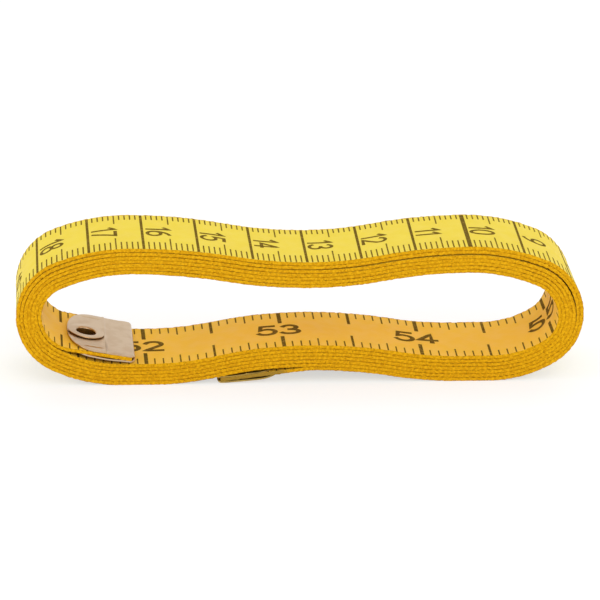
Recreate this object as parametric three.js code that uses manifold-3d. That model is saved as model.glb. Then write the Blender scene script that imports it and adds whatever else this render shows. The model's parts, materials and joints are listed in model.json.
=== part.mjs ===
// A soft cloth tape measure, wound about seven turns into a flat loop that is drawn in at its waist and
// stands on its two lobes, with a folded metal clip and an eyelet on each end of the tape.
// Millimetres, +Z up. X runs along the loop, Y across the tape's width, and the origin is on the table
// under the middle of the loop.
import * as THREE from 'three';
import { mergeVertices } from 'three/addons/utils/BufferGeometryUtils.js';
import Module from 'manifold-3d';

const { degToRad, smoothstep } = THREE.MathUtils;

// Tape
const TAPE_WIDTH = 19;
const TAPE_THICKNESS = 0.3;
const TURN_GAP = 0.46;
const FULL_TURNS = 6;

// Outline of the outermost turn, seen from the front. An inset is measured from an end of the loop.
const LOOP_LENGTH = 104;
const LEFT_LOBE_HEIGHT = 26.2;
const RIGHT_LOBE_HEIGHT = 25.9;
const LEFT_CREST_INSET = 20.5;
const RIGHT_CREST_INSET = 20.8;
const LEFT_FOOT_INSET = 21.9;
const RIGHT_FOOT_INSET = 19.8;
const FOOT_LENGTH = 5;
const LEFT_BEND_HEIGHT = 13.4;
const RIGHT_BEND_HEIGHT = 12.6;
const WAIST_INSET = 54;
const WAIST_TOP_HEIGHT = 23.25;
const WAIST_BOTTOM_HEIGHT = 2.4;

// A bend at an end of the loop is tighter than a half circle by this much of radius.
const BEND_TIGHTENING = 1.85;

// Share of an S-curve's two radii that goes to the crest, and the rest to the waist.
const TOP_CREST_SHARE = 0.585;
const BOTTOM_CREST_SHARE = 0.465;

// Each turn steps inwards by one pitch on its way from the left foot to the waist.
const STEP_FROM_FOOT = 1.7;
const STEP_LENGTH = 20;

// The tape bends freely at two lines: past the right foot, and below the left bend of the innermost turn.
const SEAM_GAP = 0.3;
const OUTER_SEAM_FROM_FOOT = 6;
const INNER_SEAM_ANGLE = degToRad(18.5);

// End clips of folded sheet
const CLIP_LENGTH = 12.4;
const CLIP_SHEET = 0.25;
const CLIP_SIDE_INSET = 0.2;
const CRIMP_CLEARANCE = 0.1;
const CLIP_LEAD = 0.3;
const NOSE_LENGTH = 5;
const FOLD_CORNER_RADIUS = 1;
const INNER_FOLD_INSET = 21.4;
const OUTER_FOLD_FROM_WAIST = 17.2;
const SEAT_GAP = 0.3;
const TABLE_GAP = 0.05;

// Eyelets through the clips
const EYELET_INSET = 4.2;
const EYELET_BORE = 3.7;
const EYELET_WALL = 0.35;
const EYELET_FLANGE_WIDTH = 1.1;
const EYELET_FLANGE_HEIGHT = 0.3;
const EYELET_CLEARANCE = 0.08;

// Facets
const FACET_ANGLE = degToRad(9);
const FACET_LENGTH = 4.5;
const FOLD_FACETS = 6;
const NOSE_FACETS = 10;
const EYELET_FACETS = 24;
const ROLL_FACETS = 3;

// Sizes that follow from the ones above
const PITCH = TAPE_THICKNESS + TURN_GAP;
const HALF_TAPE = TAPE_THICKNESS / 2;
const CLIP_INSIDE = HALF_TAPE + CRIMP_CLEARANCE;
const CLIP_OUTSIDE = CLIP_INSIDE + CLIP_SHEET;
const CLIP_WIDTH = TAPE_WIDTH - 2 * CLIP_SIDE_INSET;
const CUT_DEPTH = 4 * CLIP_OUTSIDE;
const EYELET_BARREL_RADIUS = EYELET_BORE / 2 + EYELET_WALL;
const EYELET_HOLE_RADIUS = EYELET_BARREL_RADIUS + EYELET_CLEARANCE;
const LEFT_END = -LOOP_LENGTH / 2;
const RIGHT_END = LOOP_LENGTH / 2;
const WAIST_X = LEFT_END + WAIST_INSET;
const HALF_TURN = Math.PI;
const QUARTER_TURN = Math.PI / 2;

const tapeMaterial = new THREE.MeshStandardMaterial({ color: 0xf2d45a, roughness: 0.55, metalness: 0 });
const clipMaterial = new THREE.MeshStandardMaterial({ color: 0xc9b3a0, roughness: 0.35, metalness: 0.9 });
const eyeletMaterial = new THREE.MeshStandardMaterial({ color: 0xb08f5a, roughness: 0.35, metalness: 0.9 });

const wasm = await Module();
wasm.setup();

// Two arcs from a level run to an upright end: a wide shoulder, then the bend of the end itself.
function shoulderArcs(run, rise) {
  const bendRadius = rise - BEND_TIGHTENING;
  const sweep = 2 * Math.atan2(BEND_TIGHTENING, run - bendRadius);
  const radius = bendRadius + (run - bendRadius) / Math.sin(sweep);
  return { shoulder: { radius, sweep }, bend: { radius: bendRadius, sweep: QUARTER_TURN - sweep } };
}

// Two arcs that curve opposite ways, from a level crest to the level waist. A waist level with its crest is
// straight.
function waistArcs(run, rise, crestShare) {
  if (rise === 0) {
    return { crest: { straight: run * crestShare }, waist: { straight: run * (1 - crestShare) } };
  }
  const sweep = 2 * Math.atan2(rise, run);
  const radii = run / Math.sin(sweep);
  return {
    crest: { radius: radii * crestShare, sweep },
    waist: { radius: radii * (crestShare - 1), sweep },
  };
}

// The outline as a chain of straight and round runs, anticlockwise from the right edge of the left foot.
// A negative radius curves to the right.
function makeOutline() {
  const leftFoot = LEFT_END + LEFT_FOOT_INSET;
  const rightFoot = RIGHT_END - RIGHT_FOOT_INSET;
  const leftCrest = LEFT_END + LEFT_CREST_INSET;
  const rightCrest = RIGHT_END - RIGHT_CREST_INSET;
  const halfFoot = FOOT_LENGTH / 2;
  const footToLeftEnd = LEFT_FOOT_INSET - halfFoot;
  const footToRightEnd = RIGHT_FOOT_INSET - halfFoot;

  const lowerLeft = waistArcs(WAIST_X - leftFoot - halfFoot, WAIST_BOTTOM_HEIGHT, BOTTOM_CREST_SHARE);
  const lowerRight = waistArcs(rightFoot - halfFoot - WAIST_X, WAIST_BOTTOM_HEIGHT, BOTTOM_CREST_SHARE);
  const upperRight = waistArcs(rightCrest - WAIST_X, RIGHT_LOBE_HEIGHT - WAIST_TOP_HEIGHT, TOP_CREST_SHARE);
  const upperLeft = waistArcs(WAIST_X - leftCrest, LEFT_LOBE_HEIGHT - WAIST_TOP_HEIGHT, TOP_CREST_SHARE);
  const rightUnder = shoulderArcs(footToRightEnd, RIGHT_BEND_HEIGHT);
  const rightOver = shoulderArcs(RIGHT_CREST_INSET, RIGHT_LOBE_HEIGHT - RIGHT_BEND_HEIGHT);
  const leftOver = shoulderArcs(LEFT_CREST_INSET, LEFT_LOBE_HEIGHT - LEFT_BEND_HEIGHT);
  const leftUnder = shoulderArcs(footToLeftEnd, LEFT_BEND_HEIGHT);
  const foot = { straight: FOOT_LENGTH };

  const chain = [
    ['leftRise', lowerLeft.crest], ['leftWaist', lowerLeft.waist],
    ['rightWaist', lowerRight.waist], ['rightRise', lowerRight.crest],
    ['rightFoot', foot], ['rightShoulder', rightUnder.shoulder], ['rightBend', rightUnder.bend],
    ['upperRightBend', rightOver.bend], ['upperRightShoulder', rightOver.shoulder],
    ['rightCrest', upperRight.crest], ['upperRightWaist', upperRight.waist],
    ['upperLeftWaist', upperLeft.waist], ['leftCrest', upperLeft.crest],
    ['upperLeftShoulder', leftOver.shoulder], ['upperLeftBend', leftOver.bend],
    ['leftBend', leftUnder.bend], ['leftShoulder', leftUnder.shoulder], ['leftFoot', foot],
  ];
  const runs = new Map();
  let next = { x: leftFoot + halfFoot, z: 0, heading: 0, distance: 0 };
  for (const [name, { straight, radius, sweep }] of chain) {
    const length = straight ?? Math.abs(radius * sweep);
    const run = { name, ...next, length, curvature: straight ? 0 : 1 / radius };
    runs.set(name, run);
    next = { ...along(run, length, 0), distance: run.distance + length };
  }
  return runs;
}

// Point and heading at a distance along a run, moved towards the inside of the loop by an inset.
function along(run, distance, inset) {
  const heading = run.heading + distance * run.curvature;
  const chord = run.curvature === 0 ? distance : 2 * Math.sin(distance * run.curvature / 2) / run.curvature;
  const chordHeading = (run.heading + heading) / 2;
  return {
    x: run.x + chord * Math.cos(chordHeading) - inset * Math.sin(heading),
    z: run.z + chord * Math.sin(chordHeading) + inset * Math.cos(heading),
    heading,
  };
}

const outline = makeOutline();
const step = { start: STEP_FROM_FOOT, end: STEP_FROM_FOOT + STEP_LENGTH };

// How far a turn lies inside the outline, to the middle of the tape. Turn 0 is the outermost.
function turnInset(turn, distance) {
  return HALF_TAPE + PITCH * (turn - 1 + smoothstep(distance, step.start, step.end));
}

// Stations along one run of one turn, between two distances, as the middle line of the tape.
function turnStations(run, turn, from = 0, to = run.length) {
  const span = to - from;
  const bend = span * Math.abs(run.curvature);
  const facets = Math.ceil(Math.max(span / FACET_LENGTH, bend / FACET_ANGLE));
  return Array.from({ length: facets + 1 }, (_, i) => {
    const distance = from + span * i / facets;
    return along(run, distance, turnInset(turn, run.distance + distance));
  });
}

// One list of stations from several, with the shared ones written once.
function chainStations(lists) {
  return lists.flatMap((list, i) => (i === 0 ? list : list.slice(1)));
}

const runNames = [...outline.keys()];
const namesFrom = (name) => runNames.slice(runNames.indexOf(name));
const namesBefore = (name) => runNames.slice(0, runNames.indexOf(name));

// A free end leaves a station on an arc and runs straight through its clip to the fold.
function freeEnd(start, fold, straight) {
  const ahead = new THREE.Vector2(Math.cos(start.heading), Math.sin(start.heading));
  const reach = new THREE.Vector2(fold.x - start.x, fold.z - start.z);
  const tangent = (reach.lengthSq() - straight ** 2) / (2 * (reach.dot(ahead) + straight));
  const clipHeading = reach.clone().addScaledVector(ahead, -tangent).angle();
  const sweep = Math.atan2(Math.sin(clipHeading - start.heading), Math.cos(clipHeading - start.heading));
  const curvature = Math.tan(sweep / 2) / tangent;
  const arc = { ...start, curvature, length: sweep / curvature };
  const facets = Math.ceil(Math.max(sweep / FACET_ANGLE, arc.length / FACET_LENGTH));
  const stations = Array.from({ length: facets + 1 }, (_, i) => along(arc, arc.length * i / facets, 0));
  const line = { ...stations.at(-1), curvature: 0 };
  stations.push(along(line, straight - CLIP_OUTSIDE, 0));
  return { stations, nose: along(line, straight - CLIP_LENGTH, 0) };
}

// The strip between the two faces of the tape, as points of its cross-section.
function faces(stations) {
  const side = (offset) => stations.map(({ x, z, heading }) => new THREE.Vector2(
    x - offset * Math.sin(heading), z + offset * Math.cos(heading)));
  return { outer: side(-HALF_TAPE), inner: side(HALF_TAPE) };
}

// A closed ribbon of the tape's width along its stations.
function ribbon(stations) {
  const { outer, inner } = faces(stations);
  const near = -TAPE_WIDTH / 2;
  const far = TAPE_WIDTH / 2;
  const position = outer.flatMap((p, i) => [
    p.x, near, p.y, p.x, far, p.y, inner[i].x, near, inner[i].y, inner[i].x, far, inner[i].y]);
  const index = [];
  const quad = (a, b, c, d) => index.push(a, b, c, a, c, d);
  const corners = (i) => [0, 1, 2, 3].map((corner) => 4 * i + corner);
  for (let i = 0; i + 1 < stations.length; i += 1) {
    const [outerNear, outerFar, innerNear, innerFar] = corners(i);
    const [nextOuterNear, nextOuterFar, nextInnerNear, nextInnerFar] = corners(i + 1);
    quad(outerNear, outerFar, nextOuterFar, nextOuterNear);
    quad(innerNear, nextInnerNear, nextInnerFar, innerFar);
    quad(outerNear, nextOuterNear, nextInnerNear, innerNear);
    quad(outerFar, innerFar, nextInnerFar, nextOuterFar);
  }
  const [firstOuterNear, firstOuterFar, firstInnerNear, firstInnerFar] = corners(0);
  const [lastOuterNear, lastOuterFar, lastInnerNear, lastInnerFar] = corners(stations.length - 1);
  quad(firstOuterNear, firstInnerNear, firstInnerFar, firstOuterFar);
  quad(lastOuterNear, lastOuterFar, lastInnerFar, lastInnerNear);
  const geometry = new THREE.BufferGeometry();
  geometry.setAttribute('position', new THREE.Float32BufferAttribute(position, 3));
  geometry.setIndex(index);
  return geometry;
}

function toSolid(geometry) {
  const bare = geometry.clone();
  bare.deleteAttribute('normal');
  bare.deleteAttribute('uv');
  const merged = mergeVertices(bare);
  return new wasm.Manifold(new wasm.Mesh({
    numProp: 3,
    vertProperties: new Float32Array(merged.attributes.position.array),
    triVerts: new Uint32Array(merged.index.array),
  }));
}

function toGeometry(solid) {
  const mesh = solid.getMesh();
  const geometry = new THREE.BufferGeometry();
  geometry.setAttribute('position', new THREE.Float32BufferAttribute(mesh.vertProperties, 3));
  geometry.setIndex([...mesh.triVerts]);
  return geometry;
}

function named(name, geometry, material) {
  geometry.computeVertexNormals();
  const mesh = new THREE.Mesh(geometry, material);
  mesh.name = name;
  return mesh;
}

// Rod through the clip and the tape where the eyelet's barrel passes, in the clip's own frame.
function eyeletHole() {
  return new THREE.CylinderGeometry(EYELET_HOLE_RADIUS, EYELET_HOLE_RADIUS, CUT_DEPTH, EYELET_FACETS)
    .rotateX(QUARTER_TURN)
    .translate(EYELET_INSET, 0, 0);
}

// Folded sheet in its own frame: nose at the origin, fold at +X, tape's middle plane at Z = 0.
function clipGeometry() {
  const foldCentre = CLIP_LENGTH - CLIP_OUTSIDE;
  const side = new THREE.Shape();
  side.moveTo(0, CLIP_INSIDE);
  side.lineTo(foldCentre, CLIP_INSIDE);
  side.absarc(foldCentre, 0, CLIP_INSIDE, QUARTER_TURN, -QUARTER_TURN, true);
  side.lineTo(0, -CLIP_INSIDE);
  side.lineTo(0, -CLIP_OUTSIDE);
  side.lineTo(foldCentre, -CLIP_OUTSIDE);
  side.absarc(foldCentre, 0, CLIP_OUTSIDE, -QUARTER_TURN, QUARTER_TURN, false);
  side.lineTo(0, CLIP_OUTSIDE);
  side.closePath();
  const sheet = new THREE.ExtrudeGeometry(side, {
    depth: CLIP_WIDTH, bevelEnabled: false, curveSegments: FOLD_FACETS });
  sheet.rotateX(QUARTER_TURN).translate(0, CLIP_WIDTH / 2, 0);

  const half = CLIP_WIDTH / 2;
  const cornerX = CLIP_LENGTH - FOLD_CORNER_RADIUS;
  const cornerY = half - FOLD_CORNER_RADIUS;
  const plan = new THREE.Shape();
  plan.absellipse(NOSE_LENGTH, 0, NOSE_LENGTH, half, QUARTER_TURN, 3 * QUARTER_TURN, false);
  plan.absarc(cornerX, -cornerY, FOLD_CORNER_RADIUS, -QUARTER_TURN, 0, false);
  plan.absarc(cornerX, cornerY, FOLD_CORNER_RADIUS, 0, QUARTER_TURN, false);
  plan.closePath();
  const block = new THREE.ExtrudeGeometry(plan, {
    depth: CUT_DEPTH, bevelEnabled: false, curveSegments: NOSE_FACETS });
  block.translate(0, 0, -CUT_DEPTH / 2);
  return toGeometry(toSolid(sheet).intersect(toSolid(block)).subtract(toSolid(eyeletHole())));
}

// Hollow rivet with a rolled flange on both faces of the clip, in the clip's own frame.
function eyeletGeometry() {
  const bore = EYELET_BORE / 2;
  const seat = CLIP_OUTSIDE + EYELET_CLEARANCE;
  const rim = EYELET_BARREL_RADIUS + EYELET_FLANGE_WIDTH;
  const middle = (bore + rim) / 2;
  const roll = Array.from({ length: 2 * ROLL_FACETS + 1 }, (_, i) => {
    const turn = HALF_TURN * (1 - i / (2 * ROLL_FACETS));
    return [middle + (rim - middle) * Math.cos(turn), seat + EYELET_FLANGE_HEIGHT * Math.sin(turn)];
  });
  const upper = [...roll, [EYELET_BARREL_RADIUS, seat]];
  const lower = upper.map(([radius, height]) => [radius, -height]).reverse();
  const profile = [...upper, ...lower, upper[0]].map(([radius, height]) => new THREE.Vector2(radius, height));
  return new THREE.LatheGeometry(profile.reverse(), EYELET_FACETS)
    .rotateX(QUARTER_TURN)
    .translate(EYELET_INSET, 0, 0);
}

// One end of the tape: its ribbon with the eyelet's hole, the clip over it and the eyelet through both.
function makeEnd(prefix, tapeName, stations, nose) {
  const frame = new THREE.Group();
  frame.position.set(nose.x, 0, nose.z);
  frame.rotation.y = -nose.heading;
  frame.updateMatrix();
  frame.add(named(`${prefix}_end_clip`, clipGeometry(), clipMaterial));
  frame.add(named(`${prefix}_eyelet`, eyeletGeometry(), eyeletMaterial));
  const hole = eyeletHole().applyMatrix4(frame.matrix);
  const tape = toGeometry(toSolid(ribbon(stations)).subtract(toSolid(hole)));
  const end = new THREE.Group();
  end.add(named(tapeName, tape, tapeMaterial), frame);
  return end;
}

// Least distance from the corners of a strip's faces to its own facets more than some stations away.
function leastGap(stations, stationsApart) {
  const { outer, inner } = faces(stations);
  const foot = new THREE.Vector2();
  let least = Infinity;
  for (const points of [outer, inner]) {
    for (const line of [outer, inner]) {
      for (let i = 0; i < points.length; i += 1) {
        for (let j = 0; j + 1 < line.length; j += 1) {
          if (Math.abs(i - j) <= stationsApart) continue;
          const span = line[j + 1].clone().sub(line[j]);
          const share = points[i].clone().sub(line[j]).dot(span) / span.lengthSq();
          foot.copy(line[j]).addScaledVector(span, THREE.MathUtils.clamp(share, 0, 1));
          least = Math.min(least, foot.distanceTo(points[i]));
        }
      }
    }
  }
  return least;
}

function stationsLength(stations) {
  const steps = stations.slice(1).map((p, i) => Math.hypot(p.x - stations[i].x, p.z - stations[i].z));
  return steps.reduce((sum, length) => sum + length, 0);
}

// The coil, from the seam past the right foot to the seam below the left bend of the innermost turn.
const outerSeam = OUTER_SEAM_FROM_FOOT;
const rightShoulder = outline.get('rightShoulder');
const leftBend = outline.get('leftBend');
const innerSeam = INNER_SEAM_ANGLE / leftBend.curvature;
const innerSeamHalfGap = SEAM_GAP / 2 / (1 - turnInset(FULL_TURNS, leftBend.distance) * leftBend.curvature);
const wholeTurns = Array.from({ length: FULL_TURNS - 1 }, (_, i) => i + 1);
const coilStations = chainStations([
  turnStations(rightShoulder, 0, outerSeam + SEAM_GAP / 2),
  ...namesFrom('rightBend').map((name) => turnStations(outline.get(name), 0)),
  ...wholeTurns.flatMap((turn) => runNames.map((name) => turnStations(outline.get(name), turn))),
  ...namesBefore('leftBend').map((name) => turnStations(outline.get(name), FULL_TURNS)),
  turnStations(leftBend, FULL_TURNS, 0, innerSeam - innerSeamHalfGap),
]);

// The outer run, from the fold of its clip over the waist and the right foot to the seam.
const waistTop = along(outline.get('rightWaist'), 0, HALF_TAPE);
const outerFold = { x: WAIST_X - OUTER_FOLD_FROM_WAIST, z: CLIP_OUTSIDE + TABLE_GAP };
const outerEnd = freeEnd({ ...waistTop, heading: HALF_TURN }, outerFold, CLIP_LENGTH + CLIP_LEAD);
const outerStations = chainStations([
  outerEnd.stations.map((p) => ({ ...p, heading: p.heading - HALF_TURN })).reverse(),
  ...['rightWaist', 'rightRise', 'rightFoot'].map((name) => turnStations(outline.get(name), 0)),
  turnStations(rightShoulder, 0, 0, outerSeam - SEAM_GAP / 2),
]);

// The inner end, from the seam on an arc of its own to the fold of its clip, which lies on the turn below.
const bed = PITCH * (FULL_TURNS - 1) + TAPE_THICKNESS;
const innerFold = { x: LEFT_END + INNER_FOLD_INSET, z: bed + SEAT_GAP + CLIP_OUTSIDE };
const innerInset = turnInset(FULL_TURNS, leftBend.distance);
const innerStart = along(leftBend, innerSeam + innerSeamHalfGap, innerInset);
const innerEnd = freeEnd(innerStart, innerFold, CLIP_LENGTH + CLIP_LEAD);

const group = new THREE.Group();
const coil = named('tape_coil', ribbon(coilStations), tapeMaterial);
group.add(coil);
group.add(makeEnd('outer', 'outer_tape_run', outerStations, outerEnd.nose));
group.add(makeEnd('inner', 'inner_tape_end', innerEnd.stations, innerEnd.nose));

// Lines across the tape, at the middle of its thickness, where the two ends bend.
group.userData.hinges = {
  outer: along(rightShoulder, outerSeam, HALF_TAPE),
  inner: along(leftBend, innerSeam, innerInset),
};

const halfTurnStations = Math.round(coilStations.length / FULL_TURNS / 2);
const windingGap = leastGap(coilStations, halfTurnStations);
const tapeLength = [coilStations, outerStations, innerEnd.stations].map(stationsLength)
  .reduce((sum, length) => sum + length, 0);
console.log(`tape length ${tapeLength.toFixed(1)} mm`);
console.log(`least gap of the winding to itself ${windingGap.toFixed(3)} mm`);

export default group;
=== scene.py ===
"""A soft cloth tape measure, wound into a flat waisted loop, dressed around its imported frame.

The wound strip with its woven edges, the printed scales, the two folded clips with their eyelets and the
studio are each a class of their own. Lengths are in metres and angles in radians, unless a text says degrees.
"""

import json
import logging
import math
from dataclasses import dataclass, field
from enum import Enum

import bmesh
import bpy
import numpy as np
from mathutils import Matrix, Vector


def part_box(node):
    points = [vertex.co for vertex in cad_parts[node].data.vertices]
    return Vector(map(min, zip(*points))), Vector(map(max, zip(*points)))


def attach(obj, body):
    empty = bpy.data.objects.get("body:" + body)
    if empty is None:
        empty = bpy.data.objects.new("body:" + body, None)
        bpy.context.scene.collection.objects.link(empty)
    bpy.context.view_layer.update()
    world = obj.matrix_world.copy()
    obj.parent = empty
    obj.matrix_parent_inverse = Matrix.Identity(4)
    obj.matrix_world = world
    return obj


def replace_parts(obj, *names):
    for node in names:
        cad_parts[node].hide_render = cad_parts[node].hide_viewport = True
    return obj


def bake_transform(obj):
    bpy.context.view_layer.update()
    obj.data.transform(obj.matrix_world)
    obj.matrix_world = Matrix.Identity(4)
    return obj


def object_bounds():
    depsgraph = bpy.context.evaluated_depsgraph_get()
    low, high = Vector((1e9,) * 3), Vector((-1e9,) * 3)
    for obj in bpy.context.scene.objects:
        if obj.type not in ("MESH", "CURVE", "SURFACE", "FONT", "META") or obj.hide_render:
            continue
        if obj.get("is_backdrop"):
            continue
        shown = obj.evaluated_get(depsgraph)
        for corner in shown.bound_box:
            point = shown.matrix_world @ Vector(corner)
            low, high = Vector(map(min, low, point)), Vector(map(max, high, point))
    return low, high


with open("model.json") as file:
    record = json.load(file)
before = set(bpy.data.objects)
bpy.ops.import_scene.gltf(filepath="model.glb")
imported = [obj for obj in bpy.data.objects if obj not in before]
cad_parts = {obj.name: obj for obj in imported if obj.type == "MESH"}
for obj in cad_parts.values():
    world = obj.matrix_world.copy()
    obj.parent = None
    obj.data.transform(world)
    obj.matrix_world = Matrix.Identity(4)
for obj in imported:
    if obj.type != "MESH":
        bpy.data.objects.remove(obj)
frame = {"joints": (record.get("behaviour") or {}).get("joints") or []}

LOG = logging.getLogger("tape_measure")
MM = 0.001
INCH = 25.4 * MM
INCHES_LONG = 60
PICTURE_SIDE = 600
CLIP_OVERHANG = 0.3 * MM

Colour = tuple[float, float, float, float]
Point = tuple[float, float]
Piece = bpy.types.Object
Finish = bpy.types.Material
Socket = bpy.types.NodeSocket

WHITE: Colour = (1.0, 1.0, 1.0, 1.0)


class TapeFace(Enum):
    """The two printed faces of the tape, by the side of its middle line that they lie on."""

    CENTIMETRES = -1
    INCHES = 1


class TapeEnd(Enum):
    """The two ends of the tape, by the CAD body that carries each."""

    OUTER = "outer_run"
    INNER = "inner_end"


class Tick(Enum):
    """Ranks of the marks on a scale."""

    FINE = "fine"
    MIDDLE = "middle"
    HALF = "half"
    WHOLE = "whole"


def smooth(value: np.ndarray, low: float, high: float) -> np.ndarray:
    """Eases from 0 to 1 between two limits.

    Args:
        value: Where to read the ease.
        low: The limit that gives 0.
        high: The limit that gives 1.

    Returns:
        The eased share at each value.
    """
    share = np.clip((value - low) / (high - low), 0.0, 1.0)
    return share * share * (3.0 - 2.0 * share)


def new_object(name: str, points: np.ndarray, faces: list, finishes: list[Finish]) -> Piece:
    """Makes a mesh object with smooth faces in the scene.

    Args:
        name: The piece's name.
        points: Its vertices, in the row frame.
        faces: Its faces, as tuples of vertex numbers.
        finishes: Its materials, in slot order.

    Returns:
        The new object.
    """
    mesh = bpy.data.meshes.new(name)
    mesh.from_pydata(points.tolist(), [], faces)
    mesh.polygons.foreach_set("use_smooth", [True] * len(mesh.polygons))
    for finish in finishes:
        mesh.materials.append(finish)
    made = bpy.data.objects.new(name, mesh)
    bpy.context.scene.collection.objects.link(made)
    return made


def ring_quads(first: int, sections: int, around: int) -> np.ndarray:
    """Quads between consecutive closed rings of vertices.

    Args:
        first: Number of the first ring's first vertex.
        sections: How many rings there are.
        around: How many vertices each ring has.

    Returns:
        One row of four vertex numbers for each quad, ring by ring.
    """
    ring, side = np.meshgrid(np.arange(sections - 1), np.arange(around), indexing="ij")
    after = (side + 1) % around
    low, high = ring * around, (ring + 1) * around
    return first + np.stack([low + side, high + side, high + after, low + after], axis=-1).reshape(-1, 4)


@dataclass(frozen=True)
class Run:
    """A straight or round run of the loop's outline, seen from the front."""

    x: float
    z: float
    heading: float
    start: float
    length: float
    curvature: float

    def at(self, distance: np.ndarray, inset: np.ndarray) -> np.ndarray:
        """Points along the run, moved towards the inside of the loop.

        Args:
            distance: Distances from the start of the run.
            inset: How far inside the outline each point lies.

        Returns:
            A row of x and z for each point.
        """
        half_turn = distance * self.curvature / 2
        chord = distance * np.sinc(half_turn / np.pi)
        heading = self.heading + 2 * half_turn
        x = self.x + chord * np.cos(self.heading + half_turn) - inset * np.sin(heading)
        z = self.z + chord * np.sin(self.heading + half_turn) + inset * np.cos(heading)
        return np.stack([x, z], axis=-1)


@dataclass(frozen=True)
class LoopOutline:
    """The outermost turn as arcs: two lobes that stand on short flats, with a waist between them."""

    left_end: float
    right_end: float
    left_height: float
    right_height: float = 25.9 * MM
    left_crest_inset: float = 20.5 * MM
    right_crest_inset: float = 20.8 * MM
    left_foot_inset: float = 21.9 * MM
    right_foot_inset: float = 19.8 * MM
    left_bend_height: float = 13.4 * MM
    right_bend_height: float = 12.6 * MM
    foot_length: float = 5.0 * MM
    waist_inset: float = 54.0 * MM
    waist_top: float = 23.25 * MM
    waist_bottom: float = 2.4 * MM
    bend_tightening: float = 1.85 * MM
    top_crest_share: float = 0.585
    bottom_crest_share: float = 0.465

    @property
    def waist_x(self) -> float:
        """Where the loop is drawn in most."""
        return self.left_end + self.waist_inset

    def shoulder(self, reach: float, rise: float) -> list[tuple[float, float]]:
        """Two arcs from a level run to an upright end: a wide shoulder, then the bend of the end.

        Args:
            reach: Level distance from the run to the end.
            rise: Height of the end's middle above or below the run.

        Returns:
            Length and curvature of the shoulder and of the bend.
        """
        bend = rise - self.bend_tightening
        sweep = 2 * math.atan2(self.bend_tightening, reach - bend)
        radius = bend + (reach - bend) / math.sin(sweep)
        return [(radius * sweep, 1 / radius), (bend * (math.pi / 2 - sweep), 1 / bend)]

    def draw_in(self, reach: float, rise: float, crest_share: float) -> list[tuple[float, float]]:
        """Two arcs that curve opposite ways, from a level crest to the level waist.

        Args:
            reach: Level distance from the crest to the waist.
            rise: Height between them.
            crest_share: Share of the two radii that goes to the crest.

        Returns:
            Length and curvature of the crest's arc and of the waist's.
        """
        sweep = 2 * math.atan2(rise, reach)
        radii = reach / math.sin(sweep)
        crest, waist = radii * crest_share, radii * (1 - crest_share)
        return [(crest * sweep, 1 / crest), (waist * sweep, -1 / waist)]

    def runs(self) -> dict[str, Run]:
        """Chains the runs anticlockwise from the right edge of the left foot.

        Returns:
            The runs by name, in order.
        """
        half_foot = self.foot_length / 2
        left_foot = self.left_end + self.left_foot_inset
        right_foot = self.right_end - self.right_foot_inset
        left_crest = self.left_end + self.left_crest_inset
        right_crest = self.right_end - self.right_crest_inset
        bottom, top, waist = self.bottom_crest_share, self.top_crest_share, self.waist_x
        low_left = self.draw_in(waist - left_foot - half_foot, self.waist_bottom, bottom)
        low_right = self.draw_in(right_foot - half_foot - waist, self.waist_bottom, bottom)
        top_right = self.draw_in(right_crest - waist, self.right_height - self.waist_top, top)
        top_left = self.draw_in(waist - left_crest, self.left_height - self.waist_top, top)
        under_right = self.shoulder(self.right_foot_inset - half_foot, self.right_bend_height)
        over_right = self.shoulder(self.right_crest_inset, self.right_height - self.right_bend_height)
        over_left = self.shoulder(self.left_crest_inset, self.left_height - self.left_bend_height)
        under_left = self.shoulder(self.left_foot_inset - half_foot, self.left_bend_height)
        foot = (self.foot_length, 0.0)
        chain = {
            "left_rise": low_left[0], "left_waist": low_left[1],
            "right_waist": low_right[1], "right_rise": low_right[0], "right_foot": foot,
            "right_shoulder": under_right[0], "right_bend": under_right[1],
            "upper_right_bend": over_right[1], "upper_right_shoulder": over_right[0],
            "right_crest": top_right[0], "upper_right_waist": top_right[1],
            "upper_left_waist": top_left[1], "left_crest": top_left[0],
            "upper_left_shoulder": over_left[0], "upper_left_bend": over_left[1],
            "left_bend": under_left[1], "left_shoulder": under_left[0], "left_foot": foot,
        }
        runs, point, heading, start = {}, (left_foot + half_foot, 0.0), 0.0, 0.0
        for name, (length, curvature) in chain.items():
            run = Run(point[0], point[1], heading, start, length, curvature)
            runs[name] = run
            point = run.at(np.array(length), np.array(0.0))
            heading += length * curvature
            start += length
        return runs


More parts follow.
